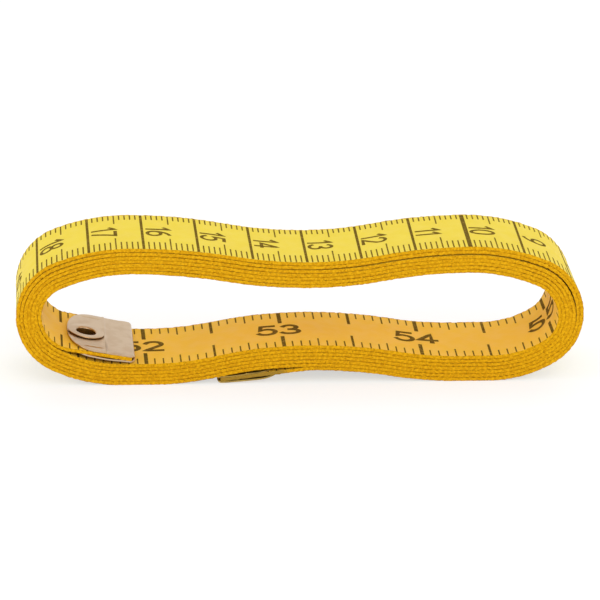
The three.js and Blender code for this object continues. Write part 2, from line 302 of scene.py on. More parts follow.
@dataclass(frozen=True)
class CentreLine:
    """The middle of the tape's thickness from its outer end to its inner end, as close points."""

    points: np.ndarray
    width: float
    far_draw: float = 0.5 * MM
    far_lift: float = 0.28 * MM
    lift_from: tuple[float, float] = (8.0 * MM, 28.0 * MM)
    end_roll: float = -0.15 * MM
    roll_from: tuple[float, float] = (34.0 * MM, 14.0 * MM)
    twist: float = 0.32 * MM
    twist_over: float = 11.8 * MM
    half_length: float = 52.0 * MM
    wander: float = 0.07 * MM
    wander_lengths: tuple[float, float] = (83.0 * MM, 137.0 * MM)
    wander_shares: tuple[float, float] = (0.6, 0.4)
    steady_ends: float = 45.0 * MM
    run: np.ndarray = field(init=False)
    heading: np.ndarray = field(init=False)

    def __post_init__(self) -> None:
        """Measures the line once: distance and heading at each point."""
        steps = np.linalg.norm(np.diff(self.points, axis=0), axis=1)
        slope = np.gradient(self.points, axis=0)
        object.__setattr__(self, "run", np.concatenate([[0.0], np.cumsum(steps)]))
        object.__setattr__(self, "heading", np.unwrap(np.arctan2(slope[:, 1], slope[:, 0])))

    @property
    def length(self) -> float:
        """The tape's length along its middle."""
        return float(self.run[-1])

    def sway(self, run: np.ndarray) -> np.ndarray:
        """Sideways drift of the wound turns, which fades towards both ends.

        Args:
            run: Distances from the outer end.

        Returns:
            The drift at each distance.
        """
        waves = [np.sin(2 * np.pi * run / length) for length in self.wander_lengths]
        drift = sum(share * wave for share, wave in zip(self.wander_shares, waves))
        fade = smooth(run, 0.0, self.steady_ends) * smooth(self.length - run, 0.0, self.steady_ends)
        return self.wander * drift * fade

    def end_twist(self, run: np.ndarray, across: np.ndarray) -> np.ndarray:
        """Lift of the far side where the inner end starts to twist back level.

        Args:
            run: Distances from the outer end.
            across: Distances from the middle of the width, away from the viewer.

        Returns:
            The lift at each place.
        """
        left = self.length - run
        share = np.clip(left / self.twist_over, 0.0, 1.0) * (1 - smooth(left, *self.roll_from[::-1]))
        return (across / self.width + 0.5) * self.twist * share

    def place(self, run: np.ndarray, across: np.ndarray, lift: np.ndarray) -> np.ndarray:
        """Turns the tape's own coordinates into points of the row frame.

        The far side of the winding is drawn in a little at both ends and lifts a little at the left. The
        inner end rolls and twists a little, and the wound turns wander sideways.

        Args:
            run: Distances from the outer end.
            across: Distances from the middle of the width, away from the viewer.
            lift: Distances from the middle of the thickness, towards the inside of the loop.

        Returns:
            One point for each set of coordinates.
        """
        heading = np.interp(run, self.run, self.heading)
        x = np.interp(run, self.run, self.points[:, 0]) - lift * np.sin(heading)
        z = np.interp(run, self.run, self.points[:, 1]) + lift * np.cos(heading)
        far = across / self.width + 0.5
        leans = far * self.far_lift * smooth(-x, *self.lift_from)
        leans = leans + (far - 0.5) * self.end_roll * (1 - smooth(self.length - run, *self.roll_from[::-1]))
        leans = leans + self.end_twist(run, across)
        drawn = far * self.far_draw * (x / self.half_length) ** 3
        return np.stack([x - drawn, across + self.sway(run), z + leans], axis=-1)

    def nearest(self, place: Vector, low: float, high: float) -> float:
        """Finds where the line passes a place.

        Args:
            place: A point of the row frame.
            low: Start of the stretch that is searched.
            high: End of the stretch that is searched.

        Returns:
            The distance from the outer end.
        """
        away = np.hypot(self.points[:, 0] - place.x, self.points[:, 1] - place.z)
        away[(self.run < low) | (self.run > high)] = np.inf
        return float(self.run[int(np.argmin(away))])


@dataclass(frozen=True)
class Winding:
    """How the strip is wound inside the outline, and how its two ends leave the turns."""

    outline: LoopOutline
    thickness: float = 0.62 * MM
    pitches: tuple[tuple[str, float], ...] = (
        ("left_rise", 0.675 * MM), ("left_waist", 0.682 * MM), ("right_waist", 0.695 * MM),
        ("right_foot", 0.695 * MM), ("right_shoulder", 0.705 * MM), ("right_bend", 0.665 * MM),
        ("upper_right_bend", 0.645 * MM), ("upper_right_shoulder", 0.715 * MM), ("right_crest", 0.68 * MM),
        ("upper_left_waist", 0.685 * MM), ("left_crest", 0.705 * MM), ("upper_left_shoulder", 0.68 * MM),
        ("upper_left_bend", 0.715 * MM), ("left_bend", 0.622 * MM), ("left_shoulder", 0.7 * MM),
        ("left_foot", 0.675 * MM))
    full_turns: int = 6
    step_start: float = 1.7 * MM
    step_length: float = 20.0 * MM
    outer_slack: float = 0.24 * MM
    slack_opens: tuple[float, float] = (0.5, 1.6)
    slack_taken: tuple[float, float, float] = (0.2, 0.5, 0.3)
    shoulder_slack: float = 0.05 * MM
    inner_slack: float = 0.05 * MM
    inner_seam_angle: float = math.radians(18.5)
    outer_straight: float = 16.0 * MM
    inner_straight: float = 12.2 * MM
    clip_half: float = 0.61 * MM
    outer_fold_from_waist: float = 17.2 * MM
    inner_fold_inset: float = 21.75 * MM
    seat_gap: float = 0.1 * MM
    table_gap: float = 0.05 * MM
    point_step: float = 0.1 * MM

    def pitch(self, runs: dict[str, Run], distance: np.ndarray) -> np.ndarray:
        """Thickness that one turn takes up: less where the loop bends sharply and the turns are drawn tight.

        Args:
            runs: The outline's runs.
            distance: Distances along the outline.

        Returns:
            The pitch at each distance.
        """
        starts = [runs[name].start for name, _ in self.pitches]
        return np.interp(distance, starts, [pitch for _, pitch in self.pitches])

    def inset(self, runs: dict[str, Run], turn: int, distance: np.ndarray) -> np.ndarray:
        """How far the middle of a turn lies inside the outline.

        The slack under the outer turns opens over a share of the right bend. It is taken up in three parts:
        at the right crest, at the left crest and at the left bend.

        Args:
            runs: The outline's runs.
            turn: Number of the turn, 0 for the outermost.
            distance: Distances along the outline.

        Returns:
            The inset at each distance, with the slack under the outer turns and the innermost one.
        """
        step = smooth(distance, self.step_start, self.step_start + self.step_length)
        inset = self.thickness / 2 + self.pitch(runs, distance) * (turn - 1 + step)
        if turn > 0:
            right, crest = runs["right_bend"], runs["upper_right_waist"]
            left, bend = runs["left_crest"], runs["left_bend"]
            opens = smooth(distance, *(right.start + share * right.length for share in self.slack_opens))
            closes = smooth(distance, crest.start - crest.length, crest.start + crest.length)
            parts = smooth(distance, crest.start, left.start)
            meets = smooth(distance, bend.start, bend.start + bend.length)
            inset = inset + self.shoulder_slack * (parts - meets)
            if turn > 1:
                by_crest, by_left, by_bend = self.slack_taken
                slack = opens - by_crest * closes - by_left * parts - by_bend * meets
                inset = inset + self.outer_slack * slack
        if turn == self.full_turns:
            bend = runs["upper_left_bend"]
            inset = inset + self.inner_slack * smooth(distance, bend.start, bend.start + bend.length)
        return inset

    def turn_points(self, runs: dict[str, Run], turn: int, names: list[str],
                    stop: float | None = None) -> list[np.ndarray]:
        """Close points along some runs of one turn.

        Args:
            runs: The outline's runs.
            turn: Number of the turn.
            names: The runs to follow, in order.
            stop: Where to end on the last of them, or None for its whole length.

        Returns:
            One array of points for each run.
        """
        found = []
        for name in names:
            run = runs[name]
            length = stop if stop is not None and name == names[-1] else run.length
            distance = np.linspace(0.0, length, math.ceil(length / self.point_step), endpoint=False)
            found.append(run.at(distance, self.inset(runs, turn, run.start + distance)))
        return found

    def free_end(self, start: np.ndarray, heading: float, fold: np.ndarray, straight: float) -> np.ndarray:
        """Leaves a point on an arc and runs straight through the clip, up to its fold.

        Args:
            start: Where the tape comes free.
            heading: Its direction there.
            fold: The outside of the clip's fold.
            straight: How much of it is straight, up to the fold.

        Returns:
            Close points to the end of the tape.
        """
        ahead = np.array([math.cos(heading), math.sin(heading)])
        reach = fold - start
        tangent = (reach @ reach - straight**2) / (2 * (reach @ ahead + straight))
        corner = reach - tangent * ahead
        turn = math.atan2(corner[1], corner[0]) - heading
        sweep = math.atan2(math.sin(turn), math.cos(turn))
        curvature = math.tan(sweep / 2) / tangent
        arc = Run(start[0], start[1], heading, 0.0, sweep / curvature, curvature)
        arc_at = np.linspace(0.0, arc.length, math.ceil(arc.length / self.point_step), endpoint=False)
        inside = straight - self.clip_half
        line_at = np.linspace(0.0, inside, math.ceil(inside / self.point_step))
        after = arc.at(np.array(arc.length), np.array(0.0))
        along = corner / np.linalg.norm(corner)
        return np.concatenate([arc.at(arc_at, np.zeros_like(arc_at)), after + line_at[:, None] * along])

    def centre_line(self, width: float) -> CentreLine:
        """Follows the tape from the end under the waist, through all the turns, to the end inside the loop.

        Args:
            width: The tape's width.

        Returns:
            The whole tape's middle line.
        """
        runs = self.outline.runs()
        names = list(runs)
        waist, bend = runs["right_waist"], runs["left_bend"]
        apex = waist.at(np.array(0.0), np.array(self.thickness / 2))
        outer_fold_x = self.outline.waist_x - self.outer_fold_from_waist
        outer_fold = np.array([outer_fold_x, self.clip_half + self.table_gap])
        parts = [self.free_end(apex, math.pi, outer_fold, self.outer_straight)[:0:-1]]
        parts += self.turn_points(runs, 0, names[names.index("right_waist"):])
        for turn in range(1, self.full_turns):
            parts += self.turn_points(runs, turn, names)
        seam = self.inner_seam_angle / bend.curvature
        parts += self.turn_points(runs, self.full_turns, names[:names.index("left_bend") + 1], stop=seam)
        leaves = bend.at(np.array(seam), self.inset(runs, self.full_turns, np.array(bend.start + seam)))
        bed = float(self.pitch(runs, np.array(0.0))) * (self.full_turns - 1) + self.thickness
        inner_fold_x = self.outline.left_end + self.inner_fold_inset
        inner_fold = np.array([inner_fold_x, bed + self.seat_gap + self.clip_half])
        heading = bend.heading + self.inner_seam_angle
        parts.append(self.free_end(leaves, heading, inner_fold, self.inner_straight))
        return CentreLine(np.concatenate(parts), width)


class NodeSketch:
    """Adds shader nodes to a material or a world, each with its inputs set or linked."""

    def __init__(self, holder: Finish | bpy.types.World) -> None:
        """Starts with no nodes.

        Args:
            holder: The material or the world that takes the nodes.
        """
        holder.use_nodes = True
        self.holder = holder
        self.tree = holder.node_tree
        self.tree.nodes.clear()

    @classmethod
    def finish(cls, name: str) -> "NodeSketch":
        """Starts a new material."""
        return cls(bpy.data.materials.new(name))

    def add(self, kind: str, inputs: dict | None = None, **settings: object) -> bpy.types.Node:
        """Adds one node.

        Args:
            kind: The node's type, without its leading ShaderNode.
            inputs: Values or output sockets, by the input's name or number.
            settings: Properties of the node itself.

        Returns:
            The node.
        """
        node = self.tree.nodes.new("ShaderNode" + kind)
        for key, value in settings.items():
            setattr(node, key, value)
        for key, value in (inputs or {}).items():
            if isinstance(value, Socket):
                self.tree.links.new(value, node.inputs[key])
            else:
                node.inputs[key].default_value = value
        return node

    def math(self, operation: str, first: object, second: object = 0.0) -> Socket:
        """Works out one number from two."""
        return self.add("Math", {0: first, 1: second}, operation=operation).outputs[0]

    def reading(self, attribute: str) -> Socket:
        """Reads a number that the mesh holds."""
        return self.add("Attribute", attribute_name=attribute).outputs["Fac"]

    def noise(self, scale: float, detail: float = 2.0, vector: object = None) -> Socket:
        """Noise of a given scale, in the piece's own coordinates unless a vector is given.

        Args:
            scale: Cells for each metre, or for each unit of the vector.
            detail: How many finer layers are added.
            vector: Coordinates to use instead.

        Returns:
            The noise, about 0.5 on average.
        """
        at = vector or self.add("TexCoord").outputs["Object"]
        return self.add("TexNoise", {"Vector": at, "Scale": scale, "Detail": detail}).outputs[0]

    def ease(self, value: object, low: float, high: float,
             to_low: float = 0.0, to_high: float = 1.0) -> Socket:
        """Eases a number from one range into another.

        Args:
            value: The number.
            low: Value that gives to_low.
            high: Value that gives to_high.
            to_low: Result at and below low.
            to_high: Result at and above high.

        Returns:
            The eased number.
        """
        inputs = {"Value": value, "From Min": low, "From Max": high, "To Min": to_low, "To Max": to_high}
        return self.add("MapRange", inputs, interpolation_type="SMOOTHSTEP").outputs[0]

    def blend(self, share: object, first: object, second: object) -> Socket:
        """Mixes two colours by a share."""
        return self.add("Mix", {0: share, 6: first, 7: second}, data_type="RGBA").outputs[2]

    def bump(self, height: object, depth: float, strength: float) -> Socket:
        """Tilts the surface by a height from 0 to 1 over a real depth."""
        return self.add("Bump", {"Height": height, "Distance": depth, "Strength": strength}).outputs[0]

    def surface(self, **inputs: object) -> Finish:
        """Ends the material in a physical surface.

        Args:
            inputs: Values or sockets by the input's name, with _ for a space.

        Returns:
            The finished material.
        """
        shader = self.add("BsdfPrincipled", {key.replace("_", " "): value for key, value in inputs.items()})
        self.add("OutputMaterial", {"Surface": shader.outputs[0]})
        return self.holder


@dataclass(frozen=True)
class CoatedCloth:
    """Smooth coated face of the cloth, with the weave just showing through the coating."""

    name: str
    colour: Colour
    deep: Colour
    gloss: float = 0.08
    sheen: float = 0.05
    sheen_roughness: float = 0.3
    thread: float = 0.5 * MM
    weave_depth: float = 0.012 * MM
    weave_strength: float = 0.35
    blotch_cells: float = 140.0
    blotch_range: tuple[float, float] = (0.35, 0.7)
    blotch_share: float = 0.35
    grain_cells: float = 2600.0
    satin_cells: float = 420.0
    satin_range: tuple[float, float] = (0.3, 0.7)
    roughness: tuple[float, float] = (0.48, 0.62)

    def material(self) -> Finish:
        """Builds the finish: soft blotches, a faint plain weave and an uneven satin.

        Returns:
            The material.
        """
        sketch = NodeSketch.finish(self.name)
        turn = 2 * math.pi / (2 * self.thread)
        warp = sketch.math("SINE", sketch.math("MULTIPLY", sketch.reading("tape_run"), turn))
        weft = sketch.math("SINE", sketch.math("MULTIPLY", sketch.reading("tape_across"), turn))
        blotch = sketch.ease(sketch.noise(self.blotch_cells, 3.0), *self.blotch_range)
        grain = sketch.noise(self.grain_cells, 1.0)
        height = sketch.math("ADD", sketch.math("MULTIPLY", warp, weft), grain)
        colour = sketch.blend(sketch.math("MULTIPLY", blotch, self.blotch_share), self.colour, self.deep)
        satin = sketch.ease(sketch.noise(self.satin_cells), *self.satin_range, *self.roughness)
        return sketch.surface(
            Base_Color=colour, Roughness=satin,
            Normal=sketch.bump(height, self.weave_depth, self.weave_strength), Specular_IOR_Level=self.gloss,
            Sheen_Weight=self.sheen, Sheen_Roughness=self.sheen_roughness)


@dataclass(frozen=True)
class WovenEdge:
    """Bare yarn along the tape's edges, with broken dark stitches where two turns meet, partly stitching and
    partly painted shade of the gap between the turns.
    """

    name: str = "woven_edge"
    yarn: Colour = (0.66, 0.315, 0.004, 1.0)
    light: Colour = (0.86, 0.462, 0.009, 1.0)
    # Colour of the dark specks, and of the stitches with their painted gap shade.
    dark: Colour = (0.21, 0.06, 0.002, 1.0)
    # Colour of the painted shade on the yarn of the outer end, which lies under the coil.
    soiled: Colour = (0.30, 0.19, 0.035, 1.0)
    stitch: float = 1.05 * MM
    dash_range: tuple[float, float] = (-0.2, 0.75)
    between_dashes: float = 0.15
    drift_cells: float = 260.0
    drift: float = 9.0
    stretch_cells: float = 75.0
    stretch_range: tuple[float, float] = (0.38, 0.66)
    faintest: float = 0.12
    # Rims of the edge that take the stitches and the painted shade of the gap between two turns.
    groove_range: tuple[float, float] = (0.45, 0.95)
    groove_share: float = 0.9
    lump_cells: float = 2100.0
    lump_range: tuple[float, float] = (0.36, 0.68)
    lump_depth: float = 0.07 * MM
    lump_strength: float = 0.6
    speck_cells: float = 3300.0
    speck_range: tuple[float, float] = (0.62, 0.74)
    speck_share: float = 0.5
    # Painted shade on the outer end's yarn: full within a share of this reach from the end, gone at the
    # reach.
    soiled_end: float = 13.5 * MM
    soil_start: float = 0.8
    soil_share: float = 0.8
    satin_range: tuple[float, float] = (0.3, 0.7)
    roughness: tuple[float, float] = (0.8, 0.95)
    gloss: float = 0.04

    def stitches(self, sketch: NodeSketch) -> Socket:
        """Dark dashes a stitch apart, strong in some stretches and faint in others.

        Args:
            sketch: The material that they belong to.

        Returns:
            How dark the dashes are at each place; the material lays them along the rims, where they also
            carry painted shade of the gap between two turns.
        """
        run = sketch.reading("tape_run")
        place = sketch.add("CombineXYZ", {0: run, 1: 0.0, 2: 0.0}).outputs[0]
        drift = sketch.math("MULTIPLY", sketch.noise(self.drift_cells, 2.0, place), self.drift)
        turn = sketch.math("ADD", sketch.math("MULTIPLY", run, 2 * math.pi / self.stitch), drift)
        dash = sketch.ease(sketch.math("SINE", turn), *self.dash_range, self.between_dashes, 1.0)
        stretch = sketch.noise(self.stretch_cells, 1.0, place)
        return sketch.math("MULTIPLY", dash, sketch.ease(stretch, *self.stretch_range, self.faintest, 1.0))

    def material(self) -> Finish:
        """Builds the finish: lumpy yarn, lighter crowns, dark stitches with painted shade where two turns
        meet, and painted shade on the outer end under the coil.

        Returns:
            The material.
        """
        sketch = NodeSketch.finish(self.name)
        lift = sketch.math("ABSOLUTE", sketch.reading("tape_lift"))
        # Dark stitches on the rims of the edge, where two turns meet: partly stitching, partly painted shade
        # of the gap between the turns.
        stitch_gap_shade = sketch.math("MULTIPLY", sketch.ease(lift, *self.groove_range), self.stitches(sketch))
        lumps = sketch.noise(self.lump_cells, 2.0)
        specks = sketch.ease(sketch.noise(self.speck_cells, 1.0), *self.speck_range)
        colour = sketch.blend(sketch.ease(lumps, *self.lump_range), self.yarn, self.light)
        colour = sketch.blend(sketch.math("MULTIPLY", specks, self.speck_share), colour, self.dark)
        colour = sketch.blend(sketch.math("MULTIPLY", stitch_gap_shade, self.groove_share), colour, self.dark)
        # Painted shade on the yarn inside the outer clip, which lies in the shade under the coil.
        clean, soiled = self.soiled_end, self.soiled_end * self.soil_start
        end_shade = sketch.ease(sketch.reading("tape_run"), clean, soiled, 0.0, self.soil_share)
        return sketch.surface(
            Base_Color=sketch.blend(end_shade, colour, self.soiled),
            Roughness=sketch.ease(lumps, *self.satin_range, *self.roughness),
            Normal=sketch.bump(lumps, self.lump_depth, self.lump_strength), Specular_IOR_Level=self.gloss)


@dataclass(frozen=True)
class ScaleInk:
    """Dark brown printing ink, thin enough to let a little of the cloth through."""

    name: str = "scale_ink"
    ink: Colour = (0.148, 0.095, 0.014, 1.0)
    thin: Colour = (0.28, 0.18, 0.035, 1.0)
    spot_cells: float = 1500.0
    spot_range: tuple[float, float] = (0.48, 0.72)
    spot_depth: float = 0.006 * MM
    spot_strength: float = 0.3
    roughness: tuple[float, float] = (0.7, 0.85)
    gloss: float = 0.01

    def material(self) -> Finish:
        """Builds the finish: a dark film with thin spots.

        Returns:
            The material.
        """
        sketch = NodeSketch.finish(self.name)
        thin = sketch.ease(sketch.noise(self.spot_cells, 3.0), *self.spot_range)
        return sketch.surface(
            Base_Color=sketch.blend(thin, self.ink, self.thin),
            Roughness=sketch.ease(thin, 0.0, 1.0, *self.roughness),
            Normal=sketch.bump(thin, self.spot_depth, self.spot_strength), Specular_IOR_Level=self.gloss)


@dataclass(frozen=True)
class PlatedSheet:
    """Satin plated sheet metal with fine scratches and duller patches."""

    name: str
    colour: Colour
    dull: Colour
    roughness: tuple[float, float] = (0.46, 0.6)
    cloud_cells: float = 420.0
    cloud_range: tuple[float, float] = (0.38, 0.68)
    scratch_cells: float = 5200.0
    scratch_spread: tuple[float, float, float] = (0.12, 1.0, 0.12)
    scratch_roughness: float = 0.08
    scratch_depth: float = 0.01 * MM
    scratch_strength: float = 0.25

    def material(self) -> Finish:
        """Builds the finish: clouded plating and fine scratches along the tape.

        Returns:
            The material.
        """
        sketch = NodeSketch.finish(self.name)
        place = sketch.add("TexCoord").outputs["Object"]
        along = sketch.add("Mapping", {"Vector": place, "Scale": self.scratch_spread}).outputs[0]
        scratches = sketch.noise(self.scratch_cells, 2.0, along)
        clouds = sketch.ease(sketch.noise(self.cloud_cells, 4.0), *self.cloud_range)
        satin = sketch.ease(clouds, 0.0, 1.0, *self.roughness)
        rough = sketch.math("ADD", satin, sketch.math("MULTIPLY", scratches, self.scratch_roughness))
        return sketch.surface(
            Base_Color=sketch.blend(clouds, self.colour, self.dull), Metallic=1.0, Roughness=rough,
            Normal=sketch.bump(scratches, self.scratch_depth, self.scratch_strength))


@dataclass(frozen=True)
class WovenStrip:
    """The strip's cross-section: two coated faces and two rounded edges of looped yarn."""

    line: CentreLine
    width: float
    thickness: float
    edge_band: float = 0.06 * MM
    edge_flatness: float = 0.4
    edge_points: int = 4
    face_points: int = 3
    yarn_pitch: float = 1.1 * MM
    loop_strength: tuple[float, float] = (0.2, 1.5)
    loop_swing: float = 0.045 * MM
    loop_jitter: float = 0.018 * MM
    loop_swell: float = 0.28
    station_step: float = 0.275 * MM
    bake_rows: int = 6
    bake_margin: float = 0.04
    seed: int = 7

    def profile(self) -> tuple[np.ndarray, np.ndarray, np.ndarray]:
        """The section's points, from the near edge of the inside face round to it again.

        Returns:
            Shares of the flat half width, shares of the edge band past it, and shares of the half thickness.
        """
        turn = np.pi * np.arange(1, self.edge_points + 1) / (self.edge_points + 1)
        out = np.sin(turn) ** self.edge_flatness
        down = np.sign(np.cos(turn)) * np.abs(np.cos(turn)) ** self.edge_flatness
        face, edge = np.linspace(-1.0, 1.0, self.face_points), np.ones(self.edge_points)
        none, level = np.zeros(len(face)), np.ones(len(face))
        flat = np.concatenate([face, edge, face[::-1], -edge])
        band = np.concatenate([none, out, none, out])
        lift = np.concatenate([level, down, -level, -down])
        return flat, band, lift

    def smooth_across(self, flat: np.ndarray, band: np.ndarray) -> np.ndarray:
        """Distances of the section's points from the middle of the width, without the yarn's loops."""
        return flat * (self.width / 2 - self.edge_band) + np.sign(flat) * band * self.edge_band

    def yarn(self, run: np.ndarray, band: np.ndarray, lift: np.ndarray) -> tuple[np.ndarray, np.ndarray]:
        """How far the yarn's loops stand out from the smooth edge, and how much they swell its thickness.

        Args:
            run: Distances of the stations.
            band: The section's shares of the edge band.
            lift: The section's shares of the half thickness.

        Returns:
            Two arrays, with a row for each station and a column for each point of the section.
        """
        draw = np.random.default_rng(self.seed)
        thread = np.floor(2 * run / self.yarn_pitch).astype(int)
        strength = draw.uniform(*self.loop_strength, int(thread.max()) + 1)[thread]
        phase = 2 * np.pi * run / self.yarn_pitch
        zigzag = np.sin(phase[:, None] + np.where(lift > 0, 0.0, np.pi)[None, :])
        jitter = draw.uniform(-1.0, 1.0, (len(run), len(band)))
        swing = band * (self.loop_swing * strength[:, None] * zigzag + self.loop_jitter * jitter)
        return swing, 1 + self.loop_swell * band * strength[:, None]

    def build(self, name: str, start: float, end: float, finishes: list[Finish]) -> Piece:
        """Builds a stretch of the tape as one closed ribbon.

        Args:
            name: The piece's name.
            start: Where it starts, from the outer end.
            end: Where it ends.
            finishes: The inside face's, the outside face's and the edges' materials.

        Returns:
            The ribbon, with its own coordinates as attributes and a map for baking.
        """
        flat, band, lift = self.profile()
        run = np.linspace(start, end, math.ceil((end - start) / self.station_step) + 1)
        around, stations = len(flat), len(run)
        swing, swell = self.yarn(run, band, lift)
        across = self.smooth_across(flat, band) + np.sign(flat) * swing
        deep = lift * swell * self.thickness / 2
        along = np.broadcast_to(run[:, None], across.shape)
        points = self.line.place(along, across, deep).reshape(-1, 3)
        quads = ring_quads(0, stations, around)
        caps = [tuple(range(around)), tuple(range(len(points) - 1, len(points) - around - 1, -1))]
        made = new_object(name, points, quads.tolist() + caps, finishes)
        self.dress(made, stations, around)
        values = {"tape_run": along, "tape_across": across, "tape_lift": np.broadcast_to(lift, across.shape)}
        for key, value in values.items():
            layer = made.data.attributes.new(key, "FLOAT", "POINT")
            layer.data.foreach_set("value", np.ascontiguousarray(value, np.float32).ravel())
        self.unwrap(made, quads, stations, around)
        return made

    def dress(self, made: Piece, stations: int, around: int) -> None:
        """Gives the faces and the yarn their finishes, and keeps their shading apart.

        Args:
            made: The ribbon.
            stations: How many rings it has.
            around: How many points each ring has.
        """
        inside, outside, yarn = range(3)
        rims = np.cumsum([0, self.face_points - 1, self.edge_points + 1, self.face_points - 1])
        finish = np.full(around, yarn)
        finish[rims[0]:rims[1]] = inside
        finish[rims[2]:rims[3]] = outside
        every = np.concatenate([np.tile(finish, stations - 1), [yarn, yarn]])
        made.data.polygons.foreach_set("material_index", every)
        ends = np.zeros(2 * len(made.data.edges), np.int32)
        made.data.edges.foreach_get("vertices", ends)
        first, second = (ends.reshape(-1, 2) % around).T
        made.data.edges.foreach_set("use_edge_sharp", np.isin(first, rims) & (first == second))

    def unwrap(self, made: Piece, quads: np.ndarray, stations: int, around: int) -> None:
        """Lays the ribbon out flat in rows, for baking.

        Args:
            made: The ribbon.
            quads: Its quads, ring by ring.
            stations: How many rings it has.
            around: How many points each ring has.
        """
        flat, band, lift = self.profile()
        section = np.stack([self.smooth_across(flat, band), lift * self.thickness / 2], axis=-1)
        sides = np.linalg.norm(np.diff(section, axis=0, append=section[:1]), axis=1)
        share = np.concatenate([[0.0], np.cumsum(sides)]) / sides.sum()
        per_row = math.ceil((stations - 1) / self.bake_rows)
        ring, side = np.divmod(np.arange(len(quads)), around)
        row, column = np.divmod(ring, per_row)
        margin, room = self.bake_margin, 1 - 2 * self.bake_margin
        low = (row + margin + room * share[side]) / self.bake_rows
        high = (row + margin + room * share[side + 1]) / self.bake_rows
        left, right = column / per_row, (column + 1) / per_row
        corners = np.stack([left, low, right, low, right, high, left, high], axis=-1).ravel()
        layer = made.data.uv_layers.new(name="OFBake")
        every = np.zeros(2 * len(made.data.loops), np.float32)
        every[:len(corners)] = corners
        layer.data.foreach_set("uv", every)


@dataclass(frozen=True)
class NumberStyle:
    """Size of a scale's numbers, over their strokes."""

    height: float
    width: float
    stroke: float
    gap: float


@dataclass(frozen=True)
class StrokeDigits:
    """Plain digits drawn as strokes on a cell one high, each with only the lines and arcs that it needs."""

    arc_step: float = math.radians(15.0)
    cell: float = 0.56
    narrow_cell: float = 0.26

    def arc(self, centre: Point, radii: Point, start: float, end: float) -> list[Point]:
        """Points along part of an ellipse.

        Args:
            centre: Its centre.
            radii: Its half width and half height.
            start: First angle in degrees, anticlockwise from the right.
            end: Last angle in degrees.

        Returns:
            The points, both ends included.
        """
        sweep = math.radians(end - start)
        count = max(2, math.ceil(abs(sweep) / self.arc_step) + 1)
        turns = math.radians(start) + np.linspace(0.0, sweep, count)
        return [(centre[0] + radii[0] * math.cos(a), centre[1] + radii[1] * math.sin(a)) for a in turns]

    def strokes(self, digit: str) -> list[list[Point]]:
        """The strokes of one digit. A stroke that ends where it starts is closed.

        Args:
            digit: The digit.

        Returns:
            Points of each stroke.
        """
        middle = self.cell / 2
        drawn = {
            "0": [self.arc((middle, 0.5), (middle, 0.5), 0, 360)],
            "1": [[(0.0, 0.76), (0.24, 1.0), (0.24, 0.0)]],
            "2": [self.arc((middle, 0.72), (0.27, 0.28), 165, -35) + [(0.0, 0.0), (self.cell, 0.0)]],
            "3": [self.arc((0.26, 0.755), (0.23, 0.245), 155, -90),
                  self.arc((0.26, 0.255), (0.29, 0.255), 90, -155)],
            "4": [[(0.42, 0.0), (0.42, 1.0), (0.0, 0.28), (0.58, 0.28)]],
            "5": [[(0.51, 1.0), (0.11, 1.0)] + self.arc((0.27, 0.32), (0.29, 0.32), 140, -155)],
            "6": [self.arc((middle, 0.3), (0.28, 0.3), 0, 360), self.arc((0.6, 0.3), (0.6, 0.7), 180, 105)],
            "7": [[(0.0, 1.0), (0.55, 1.0), (0.17, 0.0)]],
            "8": [self.arc((middle, 0.755), (0.22, 0.245), 0, 360),
                  self.arc((middle, 0.255), (0.28, 0.255), 0, 360)],
            "9": [self.arc((middle, 0.7), (0.28, 0.3), 0, 360), self.arc((-0.04, 0.7), (0.6, 0.7), 0, -75)],
        }
        return drawn[digit]

    def layout(self, number: str, style: NumberStyle) -> list[np.ndarray]:
        """Lays a number out about its own centre.

        Args:
            number: Its digits.
            style: Its size.

        Returns:
            Points of every stroke, right and up.
        """
        stroke = style.stroke
        scale = np.array([(style.width - stroke) / self.cell, style.height - stroke])
        widths = [(self.narrow_cell if digit == "1" else self.cell) * scale[0] + stroke for digit in number]
        left = -(sum(widths) + style.gap * (len(number) - 1)) / 2
        found = []
        for digit, wide in zip(number, widths):
            corner = np.array([left + stroke / 2, (stroke - style.height) / 2])
            found += [corner + np.array(points) * scale for points in self.strokes(digit)]
            left += wide + style.gap
        return found


